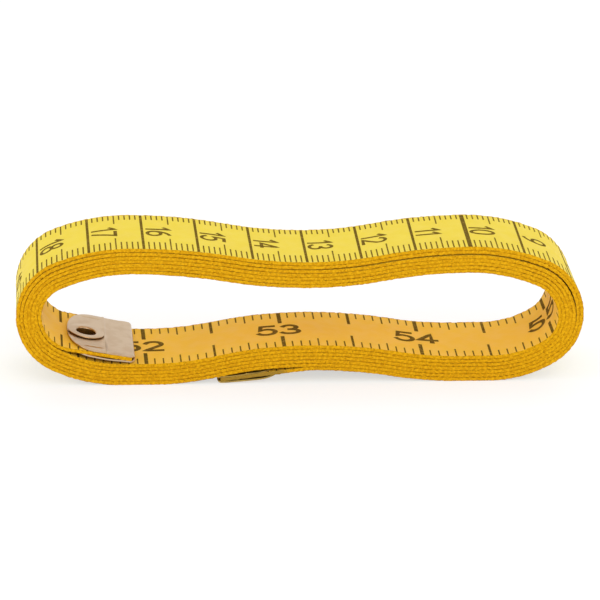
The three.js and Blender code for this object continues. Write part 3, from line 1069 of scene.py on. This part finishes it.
@dataclass
class InkFilm:
    """Thin raised shapes on one face of the tape, gathered in the tape's own coordinates."""

    line: CentreLine
    face: TapeFace
    surface: float
    proud: float = 0.012 * MM
    sunk: float = 0.02 * MM
    longest: float = 0.4 * MM
    cap: float = 0.4
    blunt_mitre: float = 0.45
    points: list[np.ndarray] = field(default_factory=list)
    faces: list[list[int]] = field(default_factory=list)

    def strip(self, left: np.ndarray, right: np.ndarray, closed: bool = False) -> None:
        """Adds one closed film between two lines.

        Args:
            left: Its left points, run and across.
            right: Its right points.
            closed: Whether it goes round to its start.
        """
        first, sections = sum(map(len, self.points)), len(left)
        corners = np.stack([left, right, right, left], axis=1)
        lift = np.array([self.proud, self.proud, -self.sunk, -self.sunk]) + self.surface
        deep = np.broadcast_to(self.face.value * lift, corners.shape[:2])
        self.points.append(self.line.place(corners[..., 0], corners[..., 1], deep).reshape(-1, 3))
        self.faces += ring_quads(first, sections, 4).tolist()
        ends = [[first + i for i in (3, 2, 1, 0)], [first + 4 * (sections - 1) + i for i in range(4)]]
        if closed:
            after = [[ends[1][i], first + i, first + (i + 1) % 4, ends[1][(i + 1) % 4]] for i in range(4)]
            self.faces += after
        else:
            self.faces += ends

    def bar(self, run: float, width: float, start: float, end: float) -> None:
        """Adds a straight mark across the tape."""
        left, right = (np.array([[side, start], [side, end]]) for side in (run - width / 2, run + width / 2))
        self.strip(left, right)

    def stroke(self, path: np.ndarray, width: float) -> None:
        """Adds a stroke of even width along a path.

        Args:
            path: Its middle points, run and across.
            width: Its width.
        """
        pieces = np.maximum(1, np.ceil(np.abs(np.diff(path[:, 0])) / self.longest)).astype(int)
        at = np.concatenate([i + np.arange(n) / n for i, n in enumerate(pieces)] + [[len(pieces)]])
        path = np.stack([np.interp(at, np.arange(len(path)), path[:, k]) for k in range(2)], -1)
        closed = bool(np.allclose(path[0], path[-1]))
        path = path[:-1] if closed else path
        if not closed:
            for end, beside in ((0, 1), (-1, -2)):
                step = path[end] - path[beside]
                path[end] += step / np.linalg.norm(step) * self.cap * width
        steps = np.diff(path, axis=0, append=path[:1] if closed else path[-1:] * 2 - path[-2:-1])
        steps = steps / np.linalg.norm(steps, axis=1)[:, None]
        normals = np.stack([-steps[:, 1], steps[:, 0]], axis=-1)
        before = np.roll(normals, 1, axis=0)
        if not closed:
            before[0] = normals[0]
            normals[-1] = before[-1]
        mitre = (before + normals) / np.maximum(1 + (before * normals).sum(1), self.blunt_mitre)[:, None]
        self.strip(path + mitre * width / 2, path - mitre * width / 2, closed)

    def build(self, name: str, finish: Finish) -> Piece:
        """Makes the gathered film one object.

        Args:
            name: The piece's name.
            finish: Its material.

        Returns:
            The film, with its faces pointing out.
        """
        made = new_object(name, np.concatenate(self.points), self.faces, [finish])
        made.data.polygons.foreach_set("use_smooth", [False] * len(made.data.polygons))
        shape = bmesh.new()
        shape.from_mesh(made.data)
        bmesh.ops.recalc_face_normals(shape, faces=shape.faces)
        shape.to_mesh(made.data)
        shape.free()
        return made


@dataclass(frozen=True)
class Mark:
    """A mark at both edges of the tape: its length and its line's width at each."""

    near: float
    far: float
    near_line: float
    far_line: float


CENTIMETRE_MARKS = {
    Tick.FINE: Mark(3.9 * MM, 2.4 * MM, 0.25 * MM, 0.25 * MM),
    Tick.HALF: Mark(6.1 * MM, 4.6 * MM, 0.25 * MM, 0.25 * MM),
}
INCH_MARKS = {
    Tick.FINE: Mark(2.8 * MM, 2.8 * MM, 0.26 * MM, 0.26 * MM),
    Tick.MIDDLE: Mark(3.9 * MM, 3.9 * MM, 0.28 * MM, 0.28 * MM),
    Tick.HALF: Mark(6.1 * MM, 6.1 * MM, 0.45 * MM, 0.56 * MM),
    Tick.WHOLE: Mark(5.7 * MM, 5.7 * MM, 0.7 * MM, 0.74 * MM),
}


@dataclass(frozen=True)
class PrintedScale:
    """Centimetres on the outside face from the outer end, and inches on the inside face to the inner end."""

    line: CentreLine
    width: float
    thickness: float
    digits: StrokeDigits = StrokeDigits()
    edge_clear: float = 0.15 * MM
    centimetre_zero: float = 0.18 * MM
    centimetre_line: float = 0.5 * MM
    tenth_line: float = 0.8 * MM
    centimetre_style: NumberStyle = NumberStyle(4.8 * MM, 2.95 * MM, 0.66 * MM, 0.4 * MM)
    far_shift: float = 0.5 * MM
    line_clear: float = 0.3 * MM
    number_gap: float = 0.32 * MM
    inch_parts: int = 16
    inch_end: float = -0.41 * MM
    inch_style: NumberStyle = NumberStyle(5.5 * MM, 4.05 * MM, 0.95 * MM, 0.3 * MM)
    inch_shift: float = 0.5 * MM
    used_stretch: float = 1.004

    def edge(self, side: int) -> float:
        """Where marks start at the near (-1) or far (1) edge."""
        return side * (self.width / 2 - self.edge_clear)

    def mark(self, film: InkFilm, run: float, mark: Mark) -> None:
        """Prints a mark at both edges."""
        film.bar(run, mark.near_line, self.edge(-1), self.edge(-1) + mark.near)
        film.bar(run, mark.far_line, self.edge(1) - mark.far, self.edge(1))

    def centimetres(self, name: str, start: float, end: float, finish: Finish) -> Piece:
        """Prints the centimetre scale on a stretch of the tape.

        Args:
            name: The piece's name.
            start: Where the stretch starts, from the outer end.
            end: Where it ends.
            finish: The ink.

        Returns:
            The ink film.
        """
        film = InkFilm(self.line, TapeFace.CENTIMETRES, self.thickness / 2)
        for count in range(1, int(self.line.length / MM)):
            run = self.centimetre_zero + count * MM
            if not start <= run < end:
                continue
            if count % 10 == 0:
                width = self.tenth_line if count % 100 == 0 else self.centimetre_line
                film.bar(run, width, self.edge(-1), self.edge(1))
                self.centimetre_number(film, count // 10, run)
            else:
                self.mark(film, run, CENTIMETRE_MARKS[Tick.HALF if count % 5 == 0 else Tick.FINE])
        return film.build(name, finish)

    def centimetre_number(self, film: InkFilm, number: int, run: float) -> None:
        """Prints a number beside its line, its top towards the outer end.

        Args:
            film: The film that it joins.
            number: The number.
            run: Where its line is.
        """
        style = self.centimetre_style
        middle = run - self.line_clear - self.number_gap - style.height / 2
        for points in self.digits.layout(str(number), style):
            film.stroke(np.stack([middle - points[:, 1], self.far_shift - points[:, 0]], -1), style.stroke)

    def inches(self, name: str, start: float, end: float, finish: Finish) -> Piece:
        """Prints the inch scale on a stretch of the tape.

        Args:
            name: The piece's name.
            start: Where the stretch starts, from the outer end.
            end: Where it ends.
            finish: The ink.

        Returns:
            The ink film.
        """
        film = InkFilm(self.line, TapeFace.INCHES, self.thickness / 2)
        inch, parts, style = INCH * self.used_stretch, self.inch_parts, self.inch_style
        zero = self.line.length + self.inch_end - INCHES_LONG * inch
        for count in range(1, INCHES_LONG * parts):
            run = zero + count * inch / parts
            if not start <= run < end:
                continue
            whole, half, quarter = (count % (parts // share) == 0 for share in (1, 2, 4))
            rank = Tick.WHOLE if whole else Tick.HALF if half else Tick.MIDDLE if quarter else Tick.FINE
            self.mark(film, run, INCH_MARKS[rank])
            if whole:
                for points in self.digits.layout(str(count // parts), style):
                    film.stroke(np.array([run - self.inch_shift, 0.0]) + points, style.stroke)
        return film.build(name, finish)


@dataclass(frozen=True)
class EndFitting:
    """A folded sheet clip over an end of the tape, with a hollow rivet through both."""

    end: TapeEnd
    width: float
    length: float = 12.5 * MM
    inside: float = 0.34 * MM
    sheet: float = 0.27 * MM
    nose_length: float = 5.0 * MM
    nose_fullness: float = 0.87
    nose_points: int = 61
    corner: float = 1.0 * MM
    corner_points: int = 5
    eyelet_inset: float = 3.45 * MM
    eyelet_drift: float = -0.7 * MM
    bore: float = 1.85 * MM
    barrel: float = 2.2 * MM
    hole: float = 2.28 * MM
    flange: float = 3.4 * MM
    flange_height: float = 0.37 * MM
    flange_points: int = 6
    crown_share: float = 0.3
    roll_height: float = 0.26 * MM
    roll_points: int = 7
    rim_gap: float = 0.17 * MM
    rim_sheet: float = 0.16 * MM
    rim_slant: float = 0.03 * MM
    seat_clear: float = 0.01 * MM
    seat_width: float = 0.3 * MM
    crease_at: float = 7.0 * MM
    crease_width: float = 0.36 * MM
    crease_depth: float = 0.11 * MM
    panel_drop: float = 0.06 * MM
    rim_press: float = 0.03 * MM
    rim_band: float = 1.0 * MM
    line_inset: float = 1.7 * MM
    line_depth: float = 0.12 * MM
    line_width: float = 0.2 * MM
    line_starts: tuple[float, float] = (2.2 * MM, 3.6 * MM)
    line_stops: tuple[float, float] = (6.0 * MM, 6.8 * MM)
    soft_edge: float = 0.05 * MM
    clip_sharp: float = math.radians(50.0)
    eyelet_sharp: float = math.radians(60.0)
    outline_step: float = 0.22 * MM
    straight: float = 9.0 * MM
    splay: float = 0.0
    bow: float = 0.0
    skew: float = 0.0
    rings: int = 44
    fold_steps: int = 12
    eyelet_sides: int = 72
    punch_sides: int = 48
    punch_reach: float = 6.0

    @property
    def outside(self) -> float:
        """Half of the folded clip's thickness."""
        return self.inside + self.sheet

    @property
    def fold_x(self) -> float:
        """Where the flat plates end and the fold starts."""
        return self.length - self.outside

    def half_width(self, x: np.ndarray) -> np.ndarray:
        """Half of the sheet's width near its fold, where its corners are round."""
        past = np.clip(x - (self.length - self.corner), 0.0, self.corner)
        return self.width / 2 - self.corner + np.sqrt(self.corner**2 - past**2)

    def outline(self) -> np.ndarray:
        """The flat plate's outline from the near end of the fold line, round the nose, to its far end.

        Returns:
            Points about one step apart, then the points of the fold line back to the start.
        """
        half = self.width / 2
        turn = np.linspace(-np.pi / 2, -3 * np.pi / 2, self.nose_points)
        round_x = -np.abs(np.cos(turn)) ** self.nose_fullness
        round_y = np.sign(np.sin(turn)) * np.abs(np.sin(turn)) ** self.nose_fullness
        nose = np.stack([self.nose_length * (1 + round_x), half * round_y], -1)
        corner_x = np.linspace(self.fold_x, self.length - self.corner, self.corner_points)
        near = np.stack([corner_x, -self.half_width(corner_x)], -1)
        route = np.concatenate([near, nose, (near * [1, -1])[::-1]])
        along = np.concatenate([[0.0], np.cumsum(np.linalg.norm(np.diff(route, axis=0), axis=1))])
        at = np.linspace(0.0, along[-1], math.ceil(along[-1] / self.outline_step))
        rim = np.stack([np.interp(at, along, route[:, k]) for k in range(2)], -1)
        edge = self.half_width(np.array(self.fold_x))
        across = np.linspace(edge, -edge, math.ceil(2 * edge / self.outline_step))[1:-1]
        return np.concatenate([rim, np.stack([np.full(len(across), self.fold_x), across], -1)])

    def relief(self, plan: np.ndarray, from_rim: np.ndarray, top: bool) -> np.ndarray:
        """Height that pressing gives the plate: a lower rim, a ridge, a lower panel behind it and two lines.

        Args:
            plan: Points of the plate.
            from_rim: How far each lies from the plate's rim.
            top: Whether this is the plate that shows.

        Returns:
            The height at each point.
        """
        x, y = plan[..., 0], plan[..., 1]
        past_fold = smooth(x, self.fold_x - 2 * self.rim_band, self.fold_x - self.rim_band)
        height = -self.rim_press * (1 - smooth(from_rim, 0.0, self.rim_band)) * (1 - past_fold)
        if top:
            along = x - self.crease_at
            ridge = np.exp(-((along / (self.crease_width / 2)) ** 2))
            dropped = smooth(along, 0.0, self.crease_width) * (1 - past_fold)
            height = height + self.crease_depth * ridge - self.panel_drop * dropped
            from_line = self.width / 2 - np.abs(y) - self.line_inset
            scored = np.exp(-((from_line / self.line_width) ** 2))
            window = smooth(x, *self.line_starts) * (1 - smooth(x, *self.line_stops))
            height = height - self.line_depth * scored * window
        return height

    def hang(self, x: np.ndarray) -> np.ndarray:
        """How far the lower plate stands off the tape: bowed behind the rivet, and splayed at the nose."""
        past_rivet = np.clip((x - self.eyelet_inset) / (self.fold_x - self.eyelet_inset), 0.0, 1.0)
        return self.splay * (1 - (x / self.fold_x) ** 3) + self.bow * np.sin(np.pi * past_rivet) ** 2

    def plate(self, top: bool) -> tuple[np.ndarray, int]:
        """One flat half of the folded sheet, as rings from the rivet's hole to the rim.

        Args:
            top: Whether this is the half above the tape.

        Returns:
            The points ring by ring, and how many each ring has.
        """
        rim = self.outline()
        centre = np.array([self.eyelet_inset, self.eyelet_drift])
        reach = np.linalg.norm(rim - centre, axis=1)[:, None]
        inner = centre + (rim - centre) / reach * self.hole
        share = np.linspace(0.0, 1.0, self.rings)[:, None, None]
        plan = inner + (rim - inner) * share
        from_rim = np.linalg.norm(rim - plan, axis=-1)
        height = self.outside + self.relief(plan, from_rim, top)
        if not top:
            x = plan[..., 0]
            height = height + self.hang(x)
            plan = plan - np.stack([np.zeros_like(x), self.skew * (1 - x / self.fold_x)], -1)
        points = np.concatenate([plan, (height if top else -height)[..., None]], axis=-1)
        return points.reshape(-1, 3), len(rim)

    def clip_surface(self) -> tuple[np.ndarray, list]:
        """The sheet's outside surface: the top plate, the fold and the bottom plate.

        Returns:
            Points in the clip's own frame, and faces that point out.
        """
        top, around = self.plate(True)
        bottom, _ = self.plate(False)
        grid = ring_quads(0, self.rings, around)
        faces = [*grid[:, ::-1].tolist(), *(grid + len(top)).tolist()]
        rim_start = len(top) - around
        fold_line = self.fold_line(around)
        rows, points = [[rim_start + i for i in fold_line]], [top, bottom]
        seam = top[rows[0]]
        for step in range(1, self.fold_steps):
            turn = np.pi / 2 - np.pi * step / self.fold_steps
            row, first = np.zeros_like(seam), sum(map(len, points))
            row[:, 0] = x = self.fold_x + self.outside * math.cos(turn)
            row[:, 1] = seam[:, 1] * self.half_width(np.array(x)) / self.half_width(np.array(self.fold_x))
            row[:, 2] = self.outside * math.sin(turn)
            points.append(row)
            rows.append(list(range(first, first + len(seam))))
        rows.append([len(top) + rim_start + i for i in fold_line])
        for upper, lower in zip(rows, rows[1:]):
            for i in range(len(fold_line) - 1):
                faces.append([upper[i], upper[i + 1], lower[i + 1], lower[i]])
        return np.concatenate(points), faces

    def fold_line(self, around: int) -> list[int]:
        """Finds a ring's points along the fold line.

        Args:
            around: How many points the ring has.

        Returns:
            Their numbers in the ring, from far to near.
        """
        edge = self.half_width(np.array(self.fold_x))
        count = math.ceil(2 * edge / self.outline_step) - 2
        return [*range(around - count - 1, around), 0]

    def frame(self, line: CentreLine) -> Matrix:
        """The clip's place: nose at its origin, fold along its X, upper side along its Z.

        Args:
            line: The tape's middle line.

        Returns:
            The transform from the clip's frame to the row frame.
        """
        outer = self.end is TapeEnd.OUTER
        runs = (0.0, self.straight) if outer else (line.length, line.length - self.straight)
        tip, back = (Vector(line.place(np.array(run), np.array(0.0), np.array(0.0))) for run in runs)
        sides = [np.array(side * self.width / 2) for side in ((1, -1) if outer else (-1, 1))]
        right, left = (Vector(line.place(np.array(runs[0]), side, np.array(0.0))) for side in sides)
        along = (tip - back).normalized()
        upward = along.cross(left - right).normalized()
        turn = Matrix((along, upward.cross(along), upward)).transposed().to_4x4()
        return Matrix.Translation(tip - along * self.fold_x) @ turn

    def seat(self, points: np.ndarray, line: CentreLine) -> np.ndarray:
        """Twists points of the clip's frame with the tape's end.

        Args:
            points: Points of the clip or its eyelet.
            line: The tape's middle line.

        Returns:
            The points, lifted where the tape lifts.
        """
        if self.end is TapeEnd.OUTER:
            return points
        lift = line.end_twist(line.length - self.fold_x + points[:, 0], points[:, 1])
        return points + np.stack([np.zeros_like(lift), np.zeros_like(lift), lift], -1)

    def build_clip(self, line: CentreLine, finish: Finish) -> Piece:
        """Builds the folded sheet.

        Args:
            line: The tape's middle line.
            finish: The plated sheet.

        Returns:
            The clip, with its sheet's thickness and softened edges.
        """
        points, faces = self.clip_surface()
        made = new_object(f"{self.end.name.lower()}_clip", self.seat(points, line), faces, [finish])
        made.data.transform(self.frame(line))
        thick = made.modifiers.new("sheet", "SOLIDIFY")
        thick.thickness, thick.offset, thick.use_even_offset = self.sheet, -1.0, True
        round_over = made.modifiers.new("rims", "BEVEL")
        round_over.width, round_over.segments = self.soft_edge, 2
        round_over.limit_method, round_over.angle_limit = "ANGLE", self.clip_sharp
        made.data.set_sharp_from_angle(angle=self.clip_sharp)
        return made

    def eyelet_section(self) -> np.ndarray:
        """The rivet's section, from the upper mouth of its hole, round the outside, to the lower mouth.

        Returns:
            A row of radius and height for each point.
        """
        base = self.outside + self.seat_clear
        top, rim = base + self.flange_height, base + self.rim_gap
        crown = self.bore + self.crown_share * (self.flange - self.bore)
        turn = np.linspace(np.pi, np.pi / 2, self.roll_points)
        roll_radius = crown + (crown - self.bore) * np.cos(turn)
        roll = np.stack([roll_radius, top + self.roll_height * (np.sin(turn) - 1)], -1)
        fall = np.linspace(0.0, 1.0, self.flange_points)[1:]
        slope_height = top + (rim + self.rim_sheet - top) * fall**2
        slope = np.stack([crown + (self.flange - crown) * fall, slope_height], -1)
        lip, seat = [self.flange - self.rim_slant, rim], [self.barrel + self.seat_width, base]
        upper = np.concatenate([roll, slope, [lip, seat, [self.barrel, base]]])
        lower = upper * [1, -1] - [0.0, float(self.hang(np.array(self.eyelet_inset)))]
        return np.concatenate([upper, lower[::-1]])

    def build_eyelet(self, line: CentreLine, finishes: list[Finish]) -> Piece:
        """Builds the hollow rivet: a rolled flange above, its barrel, and a rolled flange below.

        Args:
            line: The tape's middle line.
            finishes: The plating, and the bare metal inside the hole.

        Returns:
            The eyelet.
        """
        section = self.eyelet_section()
        angle = np.linspace(0.0, 2 * np.pi, self.eyelet_sides + 1)
        radius, height = section[:, 0], np.broadcast_to(section[:, 1], (len(angle), len(section)))
        x = self.eyelet_inset + radius * np.cos(angle)[:, None]
        y = self.eyelet_drift + radius * np.sin(angle)[:, None]
        points = np.stack([x, y, height], -1)[:-1].reshape(-1, 3)
        faces = ring_quads(0, self.eyelet_sides + 1, len(section))[:, ::-1] % len(points)
        name = f"{self.end.name.lower()}_eyelet_ring"
        made = new_object(name, self.seat(points, line), faces.tolist(), finishes)
        bare = np.zeros(len(section), int)
        bare[-1] = 1
        made.data.polygons.foreach_set("material_index", np.tile(bare, self.eyelet_sides))
        made.data.transform(self.frame(line))
        made.data.set_sharp_from_angle(angle=self.eyelet_sharp)
        return made

    def punch(self, tape: Piece, line: CentreLine) -> None:
        """Cuts the rivet's hole through the tape.

        Args:
            tape: The tape's end.
            line: The tape's middle line.
        """
        cutter = bpy.data.meshes.new("punch")
        shape = bmesh.new()
        bmesh.ops.create_cone(
            shape, cap_ends=True, segments=self.punch_sides, radius1=self.hole, radius2=self.hole,
            depth=self.punch_reach * self.outside,
            matrix=self.frame(line) @ Matrix.Translation((self.eyelet_inset, self.eyelet_drift, 0.0)))
        shape.to_mesh(cutter)
        shape.free()
        rod = bpy.data.objects.new("punch", cutter)
        bpy.context.scene.collection.objects.link(rod)
        cut = tape.modifiers.new("punch", "BOOLEAN")
        cut.object, cut.operation, cut.solver = rod, "DIFFERENCE", "EXACT"
        made = bpy.data.meshes.new_from_object(tape.evaluated_get(bpy.context.evaluated_depsgraph_get()))
        tape.modifiers.remove(cut)
        tape.data = made
        bpy.data.objects.remove(rod)


@dataclass(frozen=True)
class Lamp:
    """A square soft lamp that faces the object."""

    name: str
    place: tuple[float, float, float]
    side: float
    watts: float
    mirrored: bool = True

    def hang(self) -> None:
        """Hangs the lamp, in sight of shiny metal only if it is to be mirrored there."""
        data = bpy.data.lights.new(self.name, "AREA")
        data.shape, data.size, data.energy = "SQUARE", self.side, self.watts
        made = bpy.data.objects.new(self.name, data)
        made.location, made.visible_glossy = self.place, self.mirrored
        made.rotation_euler = (-Vector(self.place)).to_track_quat("-Z", "Y").to_euler()
        bpy.context.scene.collection.objects.link(made)


@dataclass(frozen=True)
class Studio:
    """A pale table top, soft light from all sides, and the camera."""

    elevation: float = math.radians(18.8)
    azimuth: float = math.radians(-4.1445)
    roll: float = math.radians(0.694)
    distance: float = 1151.5 * MM
    focal_pixels: float = 6305.0
    aim: tuple[float, float, float] = (-0.172 * MM, -9.5 * MM, 16.051 * MM)
    sensor: float = 36.0
    sight: tuple[float, float] = (0.01, 50.0)
    table_side: float = 8.0
    table_drop: float = 0.02 * MM
    table_colour: Colour = (0.8, 0.8, 0.8, 1.0)
    table_seen: Colour = (0.42, 0.42, 0.42, 1.0)
    table_lift: float = 0.6
    sky: float = 0.67
    lamps: tuple[Lamp, ...] = (
        Lamp("lamp_left", (-1.4, -0.2, 0.45), side=1.0, watts=8.0),
        Lamp("lamp_right", (1.4, -0.2, 0.5), side=1.0, watts=6.0),
        Lamp("lamp_front", (0.2, -1.25, 1.0), side=0.9, watts=6.7),
        Lamp("lamp_back", (0.2, 1.35, 1.0), side=2.0, watts=10.2, mirrored=False),
    )

    def camera(self) -> None:
        """Sets the camera at the photograph's viewing angle."""
        ahead = Vector((-math.sin(self.azimuth) * math.cos(self.elevation),
                        math.cos(self.azimuth) * math.cos(self.elevation), -math.sin(self.elevation)))
        level = Vector((math.cos(self.azimuth), math.sin(self.azimuth), 0.0))
        upward = level.cross(ahead)
        right = math.cos(self.roll) * level + math.sin(self.roll) * upward
        up = -math.sin(self.roll) * level + math.cos(self.roll) * upward
        data = bpy.data.cameras.new("camera")
        data.sensor_width = self.sensor
        data.lens = self.focal_pixels * self.sensor / PICTURE_SIDE
        data.clip_start, data.clip_end = self.sight
        made = bpy.data.objects.new("camera", data)
        bpy.context.scene.collection.objects.link(made)
        turn = Matrix((right, up, -ahead)).transposed().to_4x4()
        made.matrix_world = Matrix.Translation(Vector(self.aim) - self.distance * ahead) @ turn
        bpy.context.scene.camera = made

    def seen_directly(self, sketch: NodeSketch) -> Socket:
        """Tells what is seen from what only lights a surface.

        Args:
            sketch: The material or world that asks.

        Returns:
            1 for what the camera, a mirror or clear glass sees, and 0 for light on its way to a surface.
        """
        path = sketch.add("LightPath")
        either = sketch.math("MAXIMUM", path.outputs["Is Camera Ray"], path.outputs["Is Glossy Ray"])
        return sketch.math("MAXIMUM", either, path.outputs["Is Transmission Ray"])

    def table(self) -> None:
        """Lays the pale table top, which keeps the object's shadow."""
        half = self.table_side / 2
        corners = np.array([[-half, -half], [half, -half], [half, half], [-half, half]])
        points = np.concatenate([corners, np.full((4, 1), -self.table_drop)], axis=1)
        sketch = NodeSketch.finish("table_top")
        seen = self.seen_directly(sketch)
        cloth = sketch.add("BsdfDiffuse", {"Color": sketch.blend(seen, self.table_colour, self.table_seen)})
        lift = sketch.math("MULTIPLY", seen, self.table_lift)
        glow = sketch.add("Emission", {"Color": WHITE, "Strength": lift})
        both = sketch.add("AddShader", {0: cloth.outputs[0], 1: glow.outputs[0]})
        sketch.add("OutputMaterial", {"Surface": both.outputs[0]})
        top = new_object("table_top", points, [(0, 1, 2, 3)], [sketch.holder])
        top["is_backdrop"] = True

    def world(self) -> None:
        """Fills the room with even light, white where it is seen."""
        sketch = NodeSketch(bpy.data.worlds.new("room"))
        strength = sketch.ease(self.seen_directly(sketch), 0.0, 1.0, self.sky, 1.0)
        back = sketch.add("Background", {"Color": WHITE, "Strength": strength})
        sketch.add("OutputWorld", {"Surface": back.outputs[0]})
        bpy.context.scene.world = sketch.holder

    def build(self) -> None:
        """Sets up the whole studio."""
        bpy.context.scene.view_settings.view_transform = "Standard"
        self.camera()
        self.table()
        self.world()
        for lamp in self.lamps:
            lamp.hang()


@dataclass
class TapeMeasure:
    """The whole object: three stretches of one tape, their printed scales and the two end fittings."""

    line: CentreLine
    width: float
    thickness: float
    outer_seam: float
    inner_seam: float
    outside_shown: float = 318.0 * MM
    inside_shown: float = 262.0 * MM
    bend_length: float = 6.0 * MM
    bend_clear: float = 2.0 * MM
    pieces: list[Piece] = field(default_factory=list)

    def keep(self, piece: Piece) -> Piece:
        """Notes a finished piece.

        Args:
            piece: The piece.

        Returns:
            The same piece.
        """
        self.pieces.append(piece)
        LOG.info("%s: %d faces", piece.name, len(piece.data.polygons))
        return piece

    def at(self, run: float) -> tuple[float, float, float]:
        """The point of the tape's middle line at a distance from the outer end."""
        return tuple(self.line.place(np.array(run), np.array(0.0), np.array(0.0)))

    def bend_outer(self, piece: Piece) -> None:
        """Bakes the outer run's place into its mesh; the two points near the seam that it works out are not
        used.
        """
        end = self.outer_seam - self.bend_clear
        self.at(end - self.bend_length)
        self.at(end)
        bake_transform(piece)

    def bend_inner(self, piece: Piece) -> None:
        """Bakes the inner end's place into its mesh; the two points near the seam that it works out are not
        used.
        """
        start = self.inner_seam + self.bend_clear / 2
        self.at(start)
        self.at(start + self.bend_length)
        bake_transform(piece)

    def build_tape(self, cloth: list[Finish], fittings: dict[TapeEnd, EndFitting]) -> None:
        """Builds and joins the three stretches of the tape.

        Args:
            cloth: The inside face's, the outside face's and the edges' materials.
            fittings: The clips whose rivets pass through the ends.
        """
        strip = WovenStrip(self.line, self.width, self.thickness)
        outer = strip.build("outer_tape", 0.0, self.outer_seam, cloth)
        fittings[TapeEnd.OUTER].punch(outer, self.line)
        self.bend_outer(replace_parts(self.keep(outer), "outer_tape_run"))
        coil = strip.build("wound_tape", self.outer_seam, self.inner_seam, cloth)
        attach(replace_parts(self.keep(coil), "tape_coil"), "coil")
        inner = strip.build("inner_tape", self.inner_seam, self.line.length, cloth)
        fittings[TapeEnd.INNER].punch(inner, self.line)
        self.bend_inner(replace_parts(self.keep(inner), "inner_tape_end"))

    def build_scales(self, ink: Finish) -> None:
        """Prints every stretch of the scales that shows, at rest or with a joint moved.

        Args:
            ink: The printing ink.
        """
        scale = PrintedScale(self.line, self.width, self.thickness)
        first, last, end = self.outer_seam, self.inner_seam, self.line.length
        self.bend_outer(self.keep(scale.centimetres("outer_centimetres", 0.0, first, ink)))
        self.bend_outer(self.keep(scale.inches("outer_inches", 0.0, first, ink)))
        coil = scale.centimetres("wound_centimetres", first, self.outside_shown, ink)
        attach(self.keep(coil), "coil")
        coil = scale.inches("wound_inches", end - self.inside_shown, last, ink)
        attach(self.keep(coil), "coil")
        self.bend_inner(self.keep(scale.centimetres("inner_centimetres", last, end, ink)))
        self.bend_inner(self.keep(scale.inches("inner_inches", last, end, ink)))

    def build_fittings(self, fittings: dict[TapeEnd, EndFitting], sheets: dict[TapeEnd, Finish],
                       brass: Finish) -> None:
        """Builds both clips and their eyelets.

        Args:
            fittings: The fittings by the end that they sit on.
            sheets: The sheet of each end.
            brass: The bare metal inside the eyelets.
        """
        for end, fitting in fittings.items():
            word, sheet = end.name.lower(), sheets[end]
            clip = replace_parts(self.keep(fitting.build_clip(self.line, sheet)), f"{word}_end_clip")
            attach(clip, end.value)
            ring = fitting.build_eyelet(self.line, [sheet, brass])
            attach(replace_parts(self.keep(ring), f"{word}_eyelet"), end.value)


def main() -> None:
    """Builds the studio and the tape measure around the frame."""
    logging.basicConfig(level=logging.INFO, format="%(name)s %(message)s")
    cad_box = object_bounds()
    low, high = cad_box
    outline = LoopOutline(low.x, high.x, high.z)
    winding = Winding(outline)
    width = high.y - low.y
    line = winding.centre_line(width)
    hinges = {joint["name"]: Vector(joint["pos_m"]) for joint in frame["joints"]}
    half_turn = line.length / winding.full_turns / 2
    outer_seam = line.nearest(hinges["coil_tip"], 0.0, half_turn)
    inner_seam = line.nearest(hinges["inner_end_lift"], line.length - half_turn, line.length)
    measures = (line.length / MM, outer_seam / MM, inner_seam / MM)
    LOG.info("tape length %.1f mm, seams at %.1f and %.1f mm", *measures)

    Studio().build()
    lemon = CoatedCloth("lemon_face", (0.788, 0.611, 0.053, 1.0), (0.753, 0.556, 0.045, 1.0))
    # The inside face is the same coated cloth in a deeper orange, which stands in for the warm bounced light
    # and shade inside the loop.
    apricot = CoatedCloth(
        "apricot_face", (0.9, 0.556, 0.028, 1.0), (0.87, 0.51, 0.023, 1.0), gloss=0.12, sheen=0.1)
    nickel = PlatedSheet(
        "satin_nickel", (0.59, 0.43, 0.27, 1.0), (0.555, 0.4, 0.25, 1.0), roughness=(0.26, 0.33))
    # The outer clip takes a darker, yellower copy of the plated sheet: painted shade from the coil above it,
    # with the yellow tape painted in as reflection.
    outer_shaded_sheet = PlatedSheet("outer_sheet_painted_shade", (0.48, 0.33, 0.085, 1.0), (0.3, 0.2, 0.05, 1.0))
    brass = PlatedSheet(
        "bare_brass", (0.24, 0.12, 0.025, 1.0), (0.14, 0.07, 0.015, 1.0), roughness=(0.4, 0.6))
    cloth = [apricot.material(), lemon.material(), WovenEdge().material()]
    clip_low, clip_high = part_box("inner_end_clip")
    clip_width = clip_high.y - clip_low.y + CLIP_OVERHANG
    fittings = {
        TapeEnd.OUTER: EndFitting(TapeEnd.OUTER, clip_width, splay=0.35 * MM),
        TapeEnd.INNER: EndFitting(TapeEnd.INNER, clip_width, splay=0.08 * MM, bow=0.16 * MM, skew=0.7 * MM),
    }
    measure = TapeMeasure(line, width, winding.thickness, outer_seam, inner_seam)
    measure.build_tape(cloth, fittings)
    measure.build_scales(ScaleInk().material())
    sheets = {TapeEnd.OUTER: outer_shaded_sheet.material(), TapeEnd.INNER: nickel.material()}
    measure.build_fittings(fittings, sheets, brass.material())


if __name__ == "__main__":
    main()
